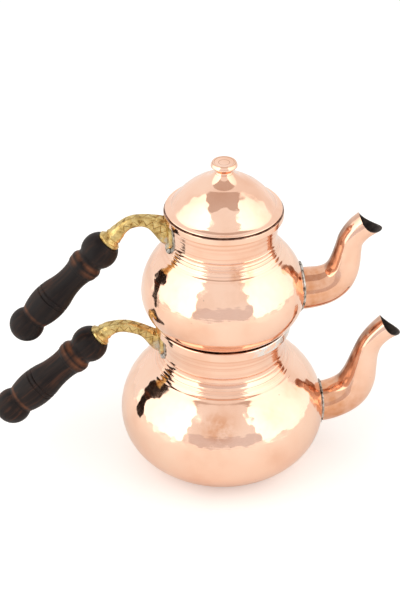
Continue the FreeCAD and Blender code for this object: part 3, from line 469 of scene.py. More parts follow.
def make_shell(name, vessel, ring_shares, steps):
    outside = with_rings(vessel.side_wall(0, 1.25 * mm, 0.5 * mm), vessel, ring_shares)
    inside = vessel.side_wall(vessel.wall, 4 * mm, 2 * mm)
    outline = outside + vessel.rim_band(rim_edge, rim_step, rim_flare) + inside[::-1]
    return turned(name, [(radius, up + vessel.base) for radius, up in outline], steps)


kettle_ring_shares, pot_ring_shares = (0.0, 0.20, 0.40, 0.66, 1.0), (0.0, 0.24, 0.46, 0.70, 1.0)
kettle_shell = make_shell("kettle_shell", kettle, kettle_ring_shares, kettle_turning_steps)
pot_shell = make_shell("pot_shell", pot, pot_ring_shares, pot_turning_steps)
report(kettle_shell)
report(pot_shell)

# %% [markdown]
# ## Hammer marks
# After spinning, the smith planishes the shoulder with a polished hammer. Each blow flattens a
# spot about 6 mm wide, and the spots' borders break every reflection into scallops. A bump in the
# material would only tilt the light, so the spots are pressed into the mesh: a cell pattern whose
# value grows with the square of the distance to a cell's middle just cancels the belly's own
# curvature, when its strength is the square of the spot's width over twice the belly's radius. A
# vertex group keeps them on the upper belly, and leaves the base, the rings and the inside smooth.

# %% Hammer the shoulders
def smooth_step(low, high, value):
    share = min(max((value - low) / (high - low), 0), 1)
    return share * share * (3 - 2 * share)


def hammer(piece, base, band, width, belly_radius, share):
    """Flatten spots of the outer skin, fading in and out between a band's four heights."""
    low, full, high, end = [base + height * mm for height in band]
    marks = piece.vertex_groups.new(name="hammer_marks")
    for vert in piece.data.vertices:
        outward = Vector((vert.co.x, vert.co.y, 0)).dot(vert.normal) > 0
        strength = smooth_step(low, full, vert.co.z) * (1 - smooth_step(high, end, vert.co.z))
        if outward and strength > 0:
            marks.add([vert.index], strength, "REPLACE")
    blows = bpy.data.textures.new(f"{piece.name}_blows", "VORONOI")
    blows.distance_metric = "DISTANCE_SQUARED"
    blows.noise_scale = width
    modify(piece, "DISPLACE", texture=blows, texture_coords="LOCAL", vertex_group=marks.name,
           strength=share * width ** 2 / (2 * belly_radius), mid_level=0.4)


kettle_band, pot_band, hammer_force = (55, 63, 93, 98), (28, 40, 71, 76), 1.4  # heights in mm
hammer(kettle_shell, kettle.base, kettle_band, 6 * mm, kettle.crown, hammer_force)
hammer(pot_shell, pot.base, pot_band, 5.5 * mm, pot.crown, hammer_force)
report(kettle_shell)
report(pot_shell)

# %% [markdown]
# ## Openings behind the spouts
# Water has to get from the belly into the spout. The kettle has one round opening there. The pot
# has a strainer, a flower of small holes that keeps the leaves in. Both are cut with a boolean: a
# cylinder, or a bundle of small ones, stands in the wall and is subtracted.

# %% Cut the openings
rod_length = 30 * mm
kettle_opening = 16.8 * mm
hole_radius, hole_spacing, flower_turn = 2 * mm, 6.2 * mm, 15


def cutter(radius, place, sides):
    """A rod along x, long enough to pass through a wall."""
    bpy.ops.object.select_all(action="DESELECT")
    bpy.ops.mesh.primitive_cylinder_add(vertices=sides, radius=radius, depth=rod_length,
                                        location=place, rotation=(0, math.pi / 2, 0))
    return named("rod")


def bundle(rods):
    choose(rods[0])
    for rod in rods:
        rod.select_set(True)
    bpy.ops.object.join()
    return rods[0]


def subtract(piece, tool):
    modify(piece, "BOOLEAN", operation="DIFFERENCE", solver="EXACT", object=tool)
    bpy.data.objects.remove(tool)


kettle_spout_root = Vector((kettle.belly, 0, 47.7 * mm))
pot_spout_root = Vector((pot.belly, 0, pot.base + 34.8 * mm))
subtract(kettle_shell, cutter(kettle_opening, kettle_spout_root, 64))
strainer_rods = [cutter(hole_radius, pot_spout_root, 16)]
for ring, hole_count in ((1, 6), (2, 12)):
    for hole in range(hole_count):
        turn = math.radians(flower_turn + 360 / hole_count * hole)
        place = pot_spout_root + Vector((0, math.cos(turn), math.sin(turn))) * hole_spacing * ring
        strainer_rods.append(cutter(hole_radius, place, 16))
print("strainer holes:", len(strainer_rods))
subtract(pot_shell, bundle(strainer_rods))
report(pot_shell)

# %% [markdown]
# ## A tube along a path
# A spout is a sheet rolled into a tube and bent into a swan neck. It could be a curve with a round
# bevel, but the tube tapers unevenly, so here a circle is extruded from station to station and
# turned, narrowed and moved at each. The stations come from a smooth path through a few measured
# places. At the end the faces are made to point outwards, because the wall will grow inwards.

# %% Smooth path and extruded tube
def smooth_between(values, position):
    """A smooth curve through evenly numbered values, read at a position such as 2.5."""
    index = min(int(position), len(values) - 2)
    share = position - index
    before = values[max(index - 1, 0)]
    first, second = values[index], values[index + 1]
    after = values[min(index + 2, len(values) - 1)]
    return 0.5 * (2 * first + (second - before) * share
                  + (2 * before - 5 * first + 4 * second - after) * share ** 2
                  + (3 * first - before - 3 * second + after) * share ** 3)


def tube_along(name, stations, sides, steps_between):
    """Extrude a circle along stations of (x, z, radius, heading in degrees)."""
    columns = list(zip(*stations))
    last = len(stations) - 1
    path = [tuple(smooth_between(column, step / steps_between) for column in columns)
            for step in range(last * steps_between + 1)]
    x, z, radius, heading = path[0]
    bpy.ops.object.select_all(action="DESELECT")
    bpy.ops.mesh.primitive_circle_add(vertices=sides, radius=radius, location=(x, 0, z),
                                      rotation=(0, math.radians(90 - heading), 0))
    tube = named(name)
    bpy.ops.object.mode_set(mode="EDIT")
    bpy.ops.mesh.select_all(action="SELECT")
    for (x0, z0, r0, h0), (x1, z1, r1, h1) in zip(path, path[1:]):
        bpy.ops.mesh.extrude_region_move(
            TRANSFORM_OT_translate={"value": (x1 - x0, 0, z1 - z0)})
        bpy.ops.transform.resize(value=(r1 / r0,) * 3, center_override=(x1, 0, z1))
        bpy.ops.transform.rotate(value=math.radians(h1 - h0), orient_axis="Y",
                                 center_override=(x1, 0, z1))
    bpy.ops.mesh.select_all(action="SELECT")
    bpy.ops.mesh.normals_make_consistent(inside=False)
    bpy.ops.object.mode_set(mode="OBJECT")
    first = tube.data.polygons[0]
    if (first.center - Vector((x, 0, z))).dot(first.normal) < 0:
        bpy.ops.object.mode_set(mode="EDIT")
        bpy.ops.mesh.flip_normals()
        bpy.ops.object.mode_set(mode="OBJECT")
    return tube


print("halfway between 1 and 2, a smooth path reads", smooth_between((0, 1, 4, 9), 1.5))

# %% [markdown]
# ## Spouts
# Each spout is a swan neck, filed off in a hollow curve at the mouth and fitted to the belly at
# its root. The tube gets its wall first, whose inner face takes a second material slot for the
# tarnished tin. Then the belly is subtracted from the root, and a lying cylinder scoops out the
# mouth. The filed edge could keep the copper, but on the real spout it has gone as dark as the
# inside.

# %% Wall, root and mouth
tube_sides, tube_steps = 88, 7
lip_dip, scoop_length = 5 * mm, 60 * mm


def solid_belly(vessel):
    """The belly as a plain solid of revolution, to subtract from what is fitted to it."""
    points = [point for point in vessel.side_wall(0, 3 * mm, 1 * mm)
              if point[1] < vessel.throat_at[1]]
    points.append((0, points[-1][1]))
    return turned("belly_solid", [(radius, up + vessel.base) for radius, up in points], 180)


def scoop_mouth(tube, inner_lip, outer_lip):
    """Cut a hollow mouth between two lips (x, z), and give its edge the inside's material."""
    chord = Vector((outer_lip[0] - inner_lip[0], 0, outer_lip[1] - inner_lip[1]))
    middle = Vector(((inner_lip[0] + outer_lip[0]) / 2, 0, (inner_lip[1] + outer_lip[1]) / 2))
    radius = (chord.length ** 2 / 4 + lip_dip ** 2) / (2 * lip_dip)
    away = Vector((-chord.z, 0, chord.x)).normalized()
    axis = middle + away * (radius - lip_dip)
    bpy.ops.object.select_all(action="DESELECT")
    bpy.ops.mesh.primitive_cylinder_add(vertices=128, radius=radius, depth=scoop_length,
                                        location=axis, rotation=(math.pi / 2, 0, 0))
    subtract(tube, named("scoop"))
    for face in tube.data.polygons:
        from_axis = Vector((face.center.x - axis.x, face.center.z - axis.z)).length
        if abs(from_axis - radius) < 0.1 * mm:
            face.material_index = 1


def make_spout(name, vessel, root, reach, rise, root_radius, throat_radius, shares, lips):
    """Shares count how far a station or lip lies out and up, of the spout's reach and rise."""
    stations = [(root.x + reach * out, root.z + rise * up,
                 throat_radius + (root_radius - throat_radius) * swell, heading)
                for out, up, swell, heading in shares]
    tube = tube_along(name, stations, tube_sides, tube_steps)
    for _ in ("outside", "inside"):
        bpy.ops.object.material_slot_add()
    modify(tube, "SOLIDIFY", thickness=vessel.wall, offset=-1, use_even_offset=True,
           material_offset=1)
    subtract(tube, solid_belly(vessel))
    inner_lip, outer_lip = [(root.x + reach * out, root.z + rise * up) for out, up in lips]
    scoop_mouth(tube, inner_lip, outer_lip)
    choose(tube)
    bpy.ops.object.shade_smooth_by_angle(angle=math.radians(35))
    report(tube)
    return tube


print("spouts leave their bellies at", kettle_spout_root, "and", pot_spout_root)

# %% [markdown]
# ## The two spouts
# The spouts are sisters: the same swan neck in two sizes, and not quite the same bend. Each could
# have its own measured stations in millimetres. Shares of its reach and rise are easier to compare
# and to correct: each row says how far out, how far up, how wide and at what heading the tube is.

# %% Both spouts
kettle_spout_shares = ((-0.210, 0.000, 1.00, 0), (0.070, 0.006, 0.99, 6), (0.316, 0.072, 0.93, 27),
                       (0.480, 0.172, 0.84, 50), (0.573, 0.316, 0.65, 70), (0.620, 0.479, 0.35, 79),
                       (0.664, 0.635, 0.11, 78), (0.742, 0.782, 0.00, 63), (0.885, 0.910, 0.03, 44),
                       (1.050, 1.000, 0.19, 36), (1.240, 1.078, 0.43, 31))
pot_spout_shares = ((-0.188, 0.000, 1.01, 0), (0.065, 0.003, 0.99, 4), (0.318, 0.040, 0.83, 19),
                    (0.492, 0.134, 0.65, 44), (0.588, 0.270, 0.45, 68), (0.637, 0.429, 0.26, 79),
                    (0.668, 0.592, 0.07, 80), (0.708, 0.740, 0.00, 66), (0.826, 0.884, 0.04, 49),
                    (1.000, 1.000, 0.13, 41), (1.150, 1.100, 0.27, 38))
kettle_spout = make_spout("kettle_swan_neck", kettle, kettle_spout_root, 57 * mm, 80 * mm, 18 * mm,
                          10.6 * mm, kettle_spout_shares, ((0.880, 1.058), (1.330, 0.880)))
pot_spout = make_spout("pot_swan_neck", pot, pot_spout_root, 55.2 * mm, 64.5 * mm, 18.1 * mm,
                       11.1 * mm, pot_spout_shares, ((0.808, 1.119), (1.176, 0.880)))

# %% [markdown]
# ## Turned wooden grips
# Each grip is one length of hardwood, turned with a ball at both ends, a waist and a long belly
# with two fine lines cut in it. A row of scaled primitives would show seams, so one outline is
# drawn upright on the same lathe. It starts at the bore in the first ball and ends at the hole's
# bottom.

# %% Grip outline
def level_swing(run, rise):
    """Radius of an arc that leaves level and rises so far over its run."""
    return (run ** 2 + rise ** 2) / (2 * rise)


def grip_outline(span, groove, collar, waist, belly, end_groove, end_ball):
    """Radii in metres along a grip; heights are counted from the first ball's middle."""
    ball, start, bore, stud_end = 15.75 * mm, -11 * mm, 3.05 * mm, 31.05 * mm
    gap, line_depth, line_half_width = 0.8 * mm, 0.8 * mm, 0.9 * mm
    groove_up, collar_up = 0.145 * span, 0.205 * span
    waist_up, belly_up = 0.37 * span, 0.70 * span
    ball_start_up = span - math.sqrt(end_ball ** 2 - end_groove ** 2)
    end_groove_up = ball_start_up - 2.4 * mm
    rise = collar_up - groove_up
    ball_end_up = math.sqrt(ball ** 2 - groove ** 2)
    first = math.asin(start / ball)
    outline = [(bore, start), (ball * math.cos(first), start)]
    outline += arc((0, 0), ball, math.degrees(first), math.degrees(math.acos(groove / ball)), gap)
    outline += arc_through(outline[-1], (groove, groove_up), -(groove_up - ball_end_up), gap / 2)
    outline += arc_through((groove, groove_up), (collar, collar_up), rise, gap / 2)
    foot = (collar - 1.4 * mm, collar_up + rise)
    outline += arc_through((collar, collar_up), foot, 1.6 * rise, gap)
    outline += arc_through(foot, (waist, waist_up), -span / 2, gap)
    flank_bend = level_swing(belly_up - waist_up, belly - waist) / 2
    flank = ((waist + belly) / 2, (waist_up + belly_up) / 2)
    outline += arc_through((waist, waist_up), flank, -flank_bend, gap)
    flank_skin = arc_through(flank, (belly, belly_up), flank_bend, gap / 2)
    lines = (0.606 * span, 0.650 * span)
    cut = [max(1 - abs(up - line) / line_half_width for line in lines) for _, up in flank_skin]
    outline += [(radius - line_depth * max(depth, 0), up)
                for (radius, up), depth in zip(flank_skin, cut)]
    end_bend = level_swing(end_groove_up - belly_up, belly - end_groove)
    outline += arc_through((belly, belly_up), (end_groove, end_groove_up), end_bend, gap)
    outline += [(end_groove - 0.5 * mm, end_groove_up + 1.2 * mm), (end_groove, ball_start_up)]
    first = -math.degrees(math.acos(end_groove / end_ball))
    outline += arc((0, span), end_ball, first, math.degrees(math.acos(bore / end_ball)), gap)
    outline += [(0, span + math.sqrt(end_ball ** 2 - bore ** 2)), (0, stud_end), (bore, stud_end)]
    return outline + [outline[0]]


kettle_profile = [value * mm for value in (92.4, 13.2, 14.8, 12.7, 16.15, 13.6, 15.75)]
pot_profile = [value * mm for value in (95.0, 12.8, 14.0, 11.4, 15.5, 12.5, 14.95)]
print("points in a grip's outline:", len(grip_outline(*kettle_profile)))

# %% [markdown]
# ## Grips along their handles
# Both handles droop, and each by its own angle. A turned grip stands upright, so it is turned
# until its top points down and out, and moved to the end of its arm. That place could stay on the
# object, but it is applied to the mesh, so that the object stays at the origin and the grain,
# which reads the object's coordinates, follows the wood.

# %% Lay the grips
def lay_along_handle(piece, place, droop):
    piece.matrix_world = (Matrix.Translation(place)
                          @ Matrix.Rotation(math.radians(-(droop + 90)), 4, "Y"))
    choose(piece)
    bpy.ops.object.transform_apply(location=True, rotation=True, scale=True)


def handle_place(vessel, reach, climb, droop):
    """The first ball's middle, past the arm's end by the ferrule and the ball's own depth."""
    ferrule, ball_depth = 9.4, 11.0
    distance = (ferrule + ball_depth) * mm
    turn = math.radians(droop)
    return Vector((-(vessel.waist + reach + distance * math.cos(turn)), 0,
                   vessel.base + vessel.throat_at[1] + climb - distance * math.sin(turn)))


kettle_droop, pot_droop = 41.5, 47.4
kettle_arm, pot_arm = (47.6 * mm, 21.7 * mm), (45.5 * mm, 7.5 * mm)  # reach and climb
kettle_grip_at = handle_place(kettle, *kettle_arm, kettle_droop)
pot_grip_at = handle_place(pot, *pot_arm, pot_droop)
kettle_grip = turned("kettle_turned_wood", grip_outline(*kettle_profile), 96)
pot_grip = turned("pot_turned_wood", grip_outline(*pot_profile), 96)
lay_along_handle(kettle_grip, kettle_grip_at, kettle_droop)
lay_along_handle(pot_grip, pot_grip_at, pot_droop)
report(kettle_grip)
report(pot_grip)

# %% [markdown]
# ## The lid
# The lid is a dome of thinner sheet with a brim, a broad shoulder and a small cone on top. Where
# dome and brim meet, the metal flares in a small round. It was hammered lightly and polished by
# hand, so it isn't quite true, and its reflections wander. Moving points by hand would take long,
# so a very shallow cloud pattern is pressed into the mesh.

# %% Lid
lid_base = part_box("lid_dome")[0].z
lid_seat = 34.4 * mm
brim = pot.rim - 1.2 * mm
dome_foot = (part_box("lid_collar")[1].x + 0.1 * mm, 2.3 * mm)
screw_hole = 2.05 * mm


def lid_outline():
    sheet, edge = 1.0 * mm, 1.6 * mm
    cone, seat = (19.8 * mm, 26.2 * mm), (7.8 * mm, lid_seat)
    outline = [(brim - edge / 2, 0)]
    outline += arc((brim - edge / 2, edge / 2), edge / 2, -90, 90, 0.3 * mm)
    dome = [point for point in arc_through(dome_foot, cone, 62 * mm, 1.1 * mm)
            if point[1] > dome_foot[1] + 2.2 * mm]
    flare = (dome_foot[0] + 2.6 * mm, edge + 0.05 * mm)
    outline += [flare] + arc_through(flare, dome[0], -6.5 * mm, 0.4 * mm) + dome[1:]
    outline += arc_through(cone, seat, -26 * mm, 1.1 * mm)
    outline += [(screw_hole, seat[1]), (screw_hole, seat[1] - sheet)]
    seat_under = (seat[0] - sheet / 2, seat[1] - sheet)
    cone_under = (cone[0] - sheet / 2, cone[1] - sheet)
    foot_under = (dome_foot[0] - sheet / 2, dome_foot[1] - sheet)
    outline += [seat_under] + arc_through(seat_under, cone_under, 27 * mm, 3 * mm)
    outline += arc_through(cone_under, foot_under, -61 * mm, 3 * mm)
    outline += [(dome_foot[0] - sheet, 0), outline[0]]
    return [(radius, up + lid_base) for radius, up in outline]


def wobble(piece, depth, width):
    """Press a soft unevenness into a piece."""
    clouds = bpy.data.textures.new(f"{piece.name}_unevenness", "CLOUDS")
    clouds.noise_scale = width
    clouds.noise_depth = 0
    modify(piece, "DISPLACE", texture=clouds, texture_coords="LOCAL", strength=depth, mid_level=0.5)


lid_dome = turned("lid_spun_dome", lid_outline(), 220)
hammer(lid_dome, lid_base, (5, 8, 23, 26), 5.5 * mm, 62 * mm, 1.2)
wobble(lid_dome, 0.2 * mm, 14 * mm)
report(lid_dome)

# %% [markdown]
# ## The knob
# The knob is solid copper, turned with a waist, a round head and a crisp rim round a shallow dish.
# The tool left faint rings in the dish. A flat top with painted rings would look dead, because
# they catch the light one by one, so the outline itself rises and falls a little towards the
# middle.

# %% Knob
def knob_outline():
    base = lid_seat
    waist, head = (6.7 * mm, base + 1.6 * mm), (11.1 * mm, base + 6.1 * mm)
    top, dish_radius, dish_depth = base + 9.9 * mm, 8.2 * mm, 1.0 * mm
    ring_pitch, ring_rise, dish_steps = 1.3 * mm, 0.07 * mm, 24
    hole_end = base + 6.55 * mm
    outline = [(screw_hole, base), (7.4 * mm, base), waist]
    outline += arc_through(waist, head, -6.3 * mm, 0.35 * mm)
    outline += arc_through(head, (10.2 * mm, top - 0.9 * mm), 3.8 * mm, 0.35 * mm)
    outline += [(9.9 * mm, top - 0.3 * mm), (9.2 * mm, top), (dish_radius + 0.3 * mm, top),
                (dish_radius, top - 0.25 * mm)]
    for step in range(1, dish_steps + 1):
        radius = dish_radius * (1 - step / dish_steps)
        hollow = dish_depth * (1 - (radius / dish_radius) ** 2)
        ring = ring_rise * math.cos(radius / ring_pitch * 2 * math.pi)
        outline.append((radius, top - 0.25 * mm - 0.75 * hollow
                        + ring * min(step, dish_steps - step) / (dish_steps / 2)))
    outline += [(0, hole_end), (screw_hole, hole_end), (screw_hole, base)]
    return [(radius, up + lid_base) for radius, up in outline]


lid_knob = turned("lid_turned_knob", knob_outline(), 96)
report(lid_knob)

# %% [markdown]
# ## Fine copies of solids
# The cast arms and the tin have no simple outline, and their solids already have the right shape
# in large. So a copy of each is merged and remeshed into small even faces, which can then be
# pressed in and out. Subdividing the solid's long thin triangles would not give even faces.

# %% Copies of solids, remeshed
def fine_copy(node, name, face_size):
    """A closed copy of a solid with small even faces."""
    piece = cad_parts[node].copy()
    piece.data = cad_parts[node].data.copy()
    piece.parent = None
    for key in list(piece.keys()):
        del piece[key]
    bpy.context.collection.objects.link(piece)
    piece.name = name
    piece.data.name = name
    piece.data.materials.clear()
    choose(piece)
    bpy.ops.object.mode_set(mode="EDIT")
    bpy.ops.mesh.select_all(action="SELECT")
    bpy.ops.mesh.remove_doubles(threshold=0.005 * mm)
    bpy.ops.object.mode_set(mode="OBJECT")
    modify(piece, "REMESH", mode="VOXEL", voxel_size=face_size)
    modify(piece, "SMOOTH", factor=0.5, iterations=3)
    return piece


casting_face = 0.32 * mm
kettle_bracket = fine_copy("kettle_bracket", "kettle_cast_arm", casting_face)
pot_bracket = fine_copy("pot_bracket", "pot_cast_arm", casting_face)
report(kettle_bracket)
report(pot_bracket)

# %% [markdown]
# ## The zigzag on the arms
# The arms are sand-cast brass with a grainy skin, and a zigzag is cut into each face between
# raised edges. Cutting it with hundreds of booleans would be slow. Instead the sunk skin and the
# zigzag are painted as vertex groups, in measured steps along the arm, and displace modifiers
# press in what is painted. Another adds the grain of the sand. What lies deep is also written into
# a mesh attribute, so that the material can put grime there.

# %% Cast arms
zigzag_pitch, zigzag_half_width, zigzag_line = 7.5 * mm, 2.6 * mm, 0.75 * mm
bead_at, bead_half_width, grimy_beyond = 4.3 * mm, 1.1 * mm, 4.9 * mm
skin_depth, zigzag_depth, grain_depth, grain_width = 0.6 * mm, 0.55 * mm, 0.16 * mm, 1.3 * mm


def arm_line(vessel, reach, climb, shares):
    """The middle of the arm from its root to the ferrule, as points in the handle's plane."""
    waist_up = vessel.base + vessel.throat_at[1]
    out_shares, up_shares = zip(*shares)
    steps = 12
    return [Vector((-(vessel.waist + reach * smooth_between(out_shares, step / steps)), 0,
                    waist_up + climb * smooth_between(up_shares, step / steps)))
            for step in range((len(shares) - 1) * steps + 1)]


def paint_arm(piece, line):
    """Paint the sunk skin and the engraved zigzag between the edge beads on each face."""
    skin = piece.vertex_groups.new(name="skin")
    zigzag = piece.vertex_groups.new(name="zigzag")
    grime = [0.0] * len(piece.data.vertices)
    lengths = [0.0]
    for last, following in zip(line, line[1:]):
        lengths.append(lengths[-1] + (following - last).length)
    for vert in piece.data.vertices:
        flat = Vector((vert.co.x, 0, vert.co.z))
        near = min(range(len(line)), key=lambda index: (line[index] - flat).length_squared)
        if near in (0, len(line) - 1):
            continue
        along = (line[near + 1] - line[near - 1]).normalized()
        run = lengths[near] + (flat - line[near]).dot(along)
        phase = (run / zigzag_pitch) % 1
        swing = (4 * abs(phase - 0.5) - 1) * zigzag_half_width
        upright = Vector((-along.z, 0, along.x))
        sideways, upward = abs(vert.normal.y), abs(vert.normal.dot(upright))
        across = (flat - line[near]).dot(upright) if sideways > upward else vert.co.y
        cut = max(1 - ((across - swing) / zigzag_line) ** 2, 0)
        bead = max(1 - ((abs(across) - bead_at) / bead_half_width) ** 2, 0)
        fade = (smooth_step(0, 8 * mm, run)
                * (1 - smooth_step(lengths[-1] - 6 * mm, lengths[-1] - 3 * mm, run)))
        on_face = smooth_step(0.6, 0.8, max(sideways, upward))
        skin.add([vert.index], fade * (1 - 0.8 * bead * on_face), "REPLACE")
        zigzag.add([vert.index], fade * cut * on_face, "REPLACE")
        grime[vert.index] = fade * on_face * max(cut, 0.6 * (abs(across) > grimy_beyond))
    piece.data.attributes.new("grime", "FLOAT", "POINT").data.foreach_set("value", grime)


kettle_arm_shares = ((0.00, 0.345), (0.17, 0.56), (0.315, 0.84), (0.502, 1.045), (0.705, 1.15),
                     (0.875, 1.115), (1.00, 1.00))
pot_arm_shares = ((0.00, 0.98), (0.22, 1.86), (0.39, 2.46), (0.552, 2.62), (0.737, 2.42),
                  (0.90, 1.70), (1.00, 1.00))
for piece, line in ((kettle_bracket, arm_line(kettle, *kettle_arm, kettle_arm_shares)),
                    (pot_bracket, arm_line(pot, *pot_arm, pot_arm_shares))):
    paint_arm(piece, line)
    for group, depth in (("skin", skin_depth), ("zigzag", zigzag_depth)):
        modify(piece, "DISPLACE", vertex_group=group, strength=-depth, mid_level=0)
    wobble(piece, grain_depth, grain_width)
    choose(piece)
    bpy.ops.object.shade_smooth()
    report(piece)

# %% [markdown]
# ## Tin beads and smears
# The spouts are soldered on with tin, which has run into a lumpy bead round each root, and has
# spread in a thin skin round the feet of the brackets. A torus could stand for a bead, but it
# wouldn't follow the belly. So both are copies of the solids with their surface pushed in and out
# by a cloud pattern: coarser on the beads, hardly at all on the skins.

# %% Tin
tin_pieces = {}
for part, shape, face_size, depth, width in (
        ("spout_solder", "tin_bead", 0.3 * mm, 0.5 * mm, 2.6 * mm),
        ("bracket_solder", "tin_skin", 0.25 * mm, 0.12 * mm, 3 * mm)):
    for owner in ("kettle", "pot"):
        piece = fine_copy(f"{owner}_{part}", f"{owner}_{shape}", face_size)
        wobble(piece, depth, width)
        choose(piece)
        bpy.ops.object.shade_smooth()
        report(piece)
        tin_pieces[f"{owner}_{part}"] = piece

# %% [markdown]
# ## Finishes from masks
# A flat colour never looks real, because use and craft leave marks. Each mark here is a mask, a
# number between nothing and one, made by spreading a coordinate, a noise or the distance to a
# point over a short range. The masks read the object's own coordinates, so each mark keeps its
# place.

# %% Finish
class Finish(NodeTree):
    """A material that reads its object's own coordinates."""

    def __init__(self, name, metallic=1.0):
        self.material = bpy.data.materials.new(name)
        super().__init__(self.material)
        self.shader = self.nodes["Principled BSDF"]
        self.place = self.add("ShaderNodeTexCoord", {}, "Object")
        self.set("Metallic", metallic)

    def set(self, name, value):
        self.feed(self.shader.inputs[name], value)

    def now(self, name):
        """What feeds one of the shader's inputs so far."""
        return self.shader.inputs[name].links[0].from_socket

    def turned_place(self, sizes, turn=(0, 0, 0), centre=(0, 0, 0)):
        """Coordinates counted from a centre along turned axes, in units of sizes in metres."""
        return self.add("ShaderNodeMapping", {"Vector": self.place, "Location": centre,
                                              "Rotation": turn, "Scale": sizes},
                        "Vector", vector_type="TEXTURE")

    def patches(self, sizes, detail=3.0, turn=(0, 0, 0)):
        """A soft noise between nothing and one, with lumps of one size, or of three, in metres."""
        sizes = sizes if isinstance(sizes, tuple) else (sizes,) * 3
        return self.add("ShaderNodeTexNoise", {"Vector": self.turned_place(sizes, turn),
                                               "Scale": 1.0, "Detail": detail}, "Fac")

    def near_point(self, point, inner, outer):
        """One within the inner distance of a point, and nothing beyond the outer one."""
        distance = self.add("ShaderNodeVectorMath", {0: self.place, 1: point}, "Value",
                            operation="DISTANCE")
        return self.spread(distance, inner, outer, 1.0, 0.0)

    def specks(self, pitch, size, rarity):
        """Scattered dots: one inside a dot, and nothing elsewhere."""
        distance = self.add("ShaderNodeTexVoronoi", {"Vector": self.turned_place((pitch,) * 3),
                                                     "Scale": 1.0}, "Distance")
        dot = self.spread(distance, size / pitch, 0.5 * size / pitch)
        lot = self.add("ShaderNodeSeparateColor", {"Color": distance.node.outputs["Color"]})
        return self.both(dot, self.spread(lot, rarity, rarity + 0.01))

    def ramp(self, value, stops):
        """A colour ramp with stops of (place, colour)."""
        colours = self.add("ShaderNodeValToRGB", {"Fac": value}, "Color")
        elements = colours.node.color_ramp.elements
        while len(elements) < len(stops):
            elements.new(0.5)
        for element, (place, colour) in zip(elements, stops):
            element.position = place
            element.color = (*colour, 1)
        return colours

    def stain(self, mask, colour):
        """Lay a colour over the base colour where the mask says so."""
        colours = {"Factor": mask, "A": self.now("Base Color"), "B": (*colour, 1)}
        self.set("Base Color", self.add("ShaderNodeMix", colours, "Result", data_type="RGBA"))

    def relief(self, value, distance, strength):
        """Tilt the light as if the value were a height, on top of earlier relief."""
        bump = {"Height": value, "Distance": distance, "Strength": strength}
        if self.shader.inputs["Normal"].links:
            bump["Normal"] = self.now("Normal")
        self.set("Normal", self.add("ShaderNodeBump", bump, "Normal"))


print("finish steps:", [step for step in vars(Finish) if not step.startswith("_")])

# %% [markdown]
# ## Polished copper
# Copper is a bare conductor, so its colour is its reflection. What makes it look real is
# unevenness: it is a little darker and redder where heat has touched it, its gloss varies in
# patches, and the lathe has left lines too fine to model. The lines come from a noise that is
# squeezed flat, so that it only changes with height. One function makes every copper here, each
# with its own marks on top. The same darker, redder stain also paints a reflection onto the
# kettle's front.

# %% Copper
copper_tones = ((0.28, (0.88, 0.52, 0.36)), (0.50, (0.96, 0.63, 0.47)), (0.74, (0.97, 0.68, 0.52)))
spout_tones = ((0.28, (0.84, 0.47, 0.31)), (0.50, (0.95, 0.61, 0.45)), (0.74, (0.97, 0.68, 0.53)))
heat_stain_painted_shade_and_reflection, spout_heat_stain = (0.78, 0.40, 0.24), (0.70, 0.31, 0.15)
neck_red, ring_brown, painted_spout_shade_brown = (0.86, 0.47, 0.32), (0.62, 0.33, 0.21), (0.20, 0.075, 0.035)
oxide_dot, painted_gap_shade_colour, tin_white = (0.16, 0.09, 0.06), (0.12, 0.06, 0.04), (0.80, 0.78, 0.74)
lathe_lines, cloth_scratches = (250 * mm, 250 * mm, 1.1 * mm), (1.5 * mm, 9 * mm, 9 * mm)


def copper_finish(name, line_depth, tones=copper_tones, heat_and_painted_reflection_spots=(), stain=heat_stain_painted_shade_and_reflection,
                  cloud_range=(0.40, 0.60)):
    """Polished copper, stained round points that each have a reach: heat stains, and on the
    kettle's front a painted reflection.
    """
    copper = Finish(name)
    copper.set("Base Color", copper.ramp(copper.patches(38 * mm, 4), tones))
    cloudy = copper.spread(copper.patches(7 * mm, 4), *cloud_range)
    for point, reach in heat_and_painted_reflection_spots:
        copper.stain(copper.both(copper.near_point(point, 0.4 * reach, reach), cloudy), stain)
    copper.stain(copper.specks(11 * mm, 0.5 * mm, 0.72), oxide_dot)
    copper.set("Roughness", copper.spread(copper.patches(17 * mm, 5), 0.3, 0.7, 0.05, 0.14))
    copper.relief(copper.patches(lathe_lines, 2), line_depth, 0.5)
    copper.relief(copper.patches(cloth_scratches, 2, turn=(0, 0.6, 0.4)), 0.012 * mm, 0.3)
    return copper


lid_copper = copper_finish("lid_polished_copper", 0.03 * mm)
rivet_copper = copper_finish("rivet_copper", 0.01 * mm)
print("nodes in the lid's copper:", len(lid_copper.nodes))
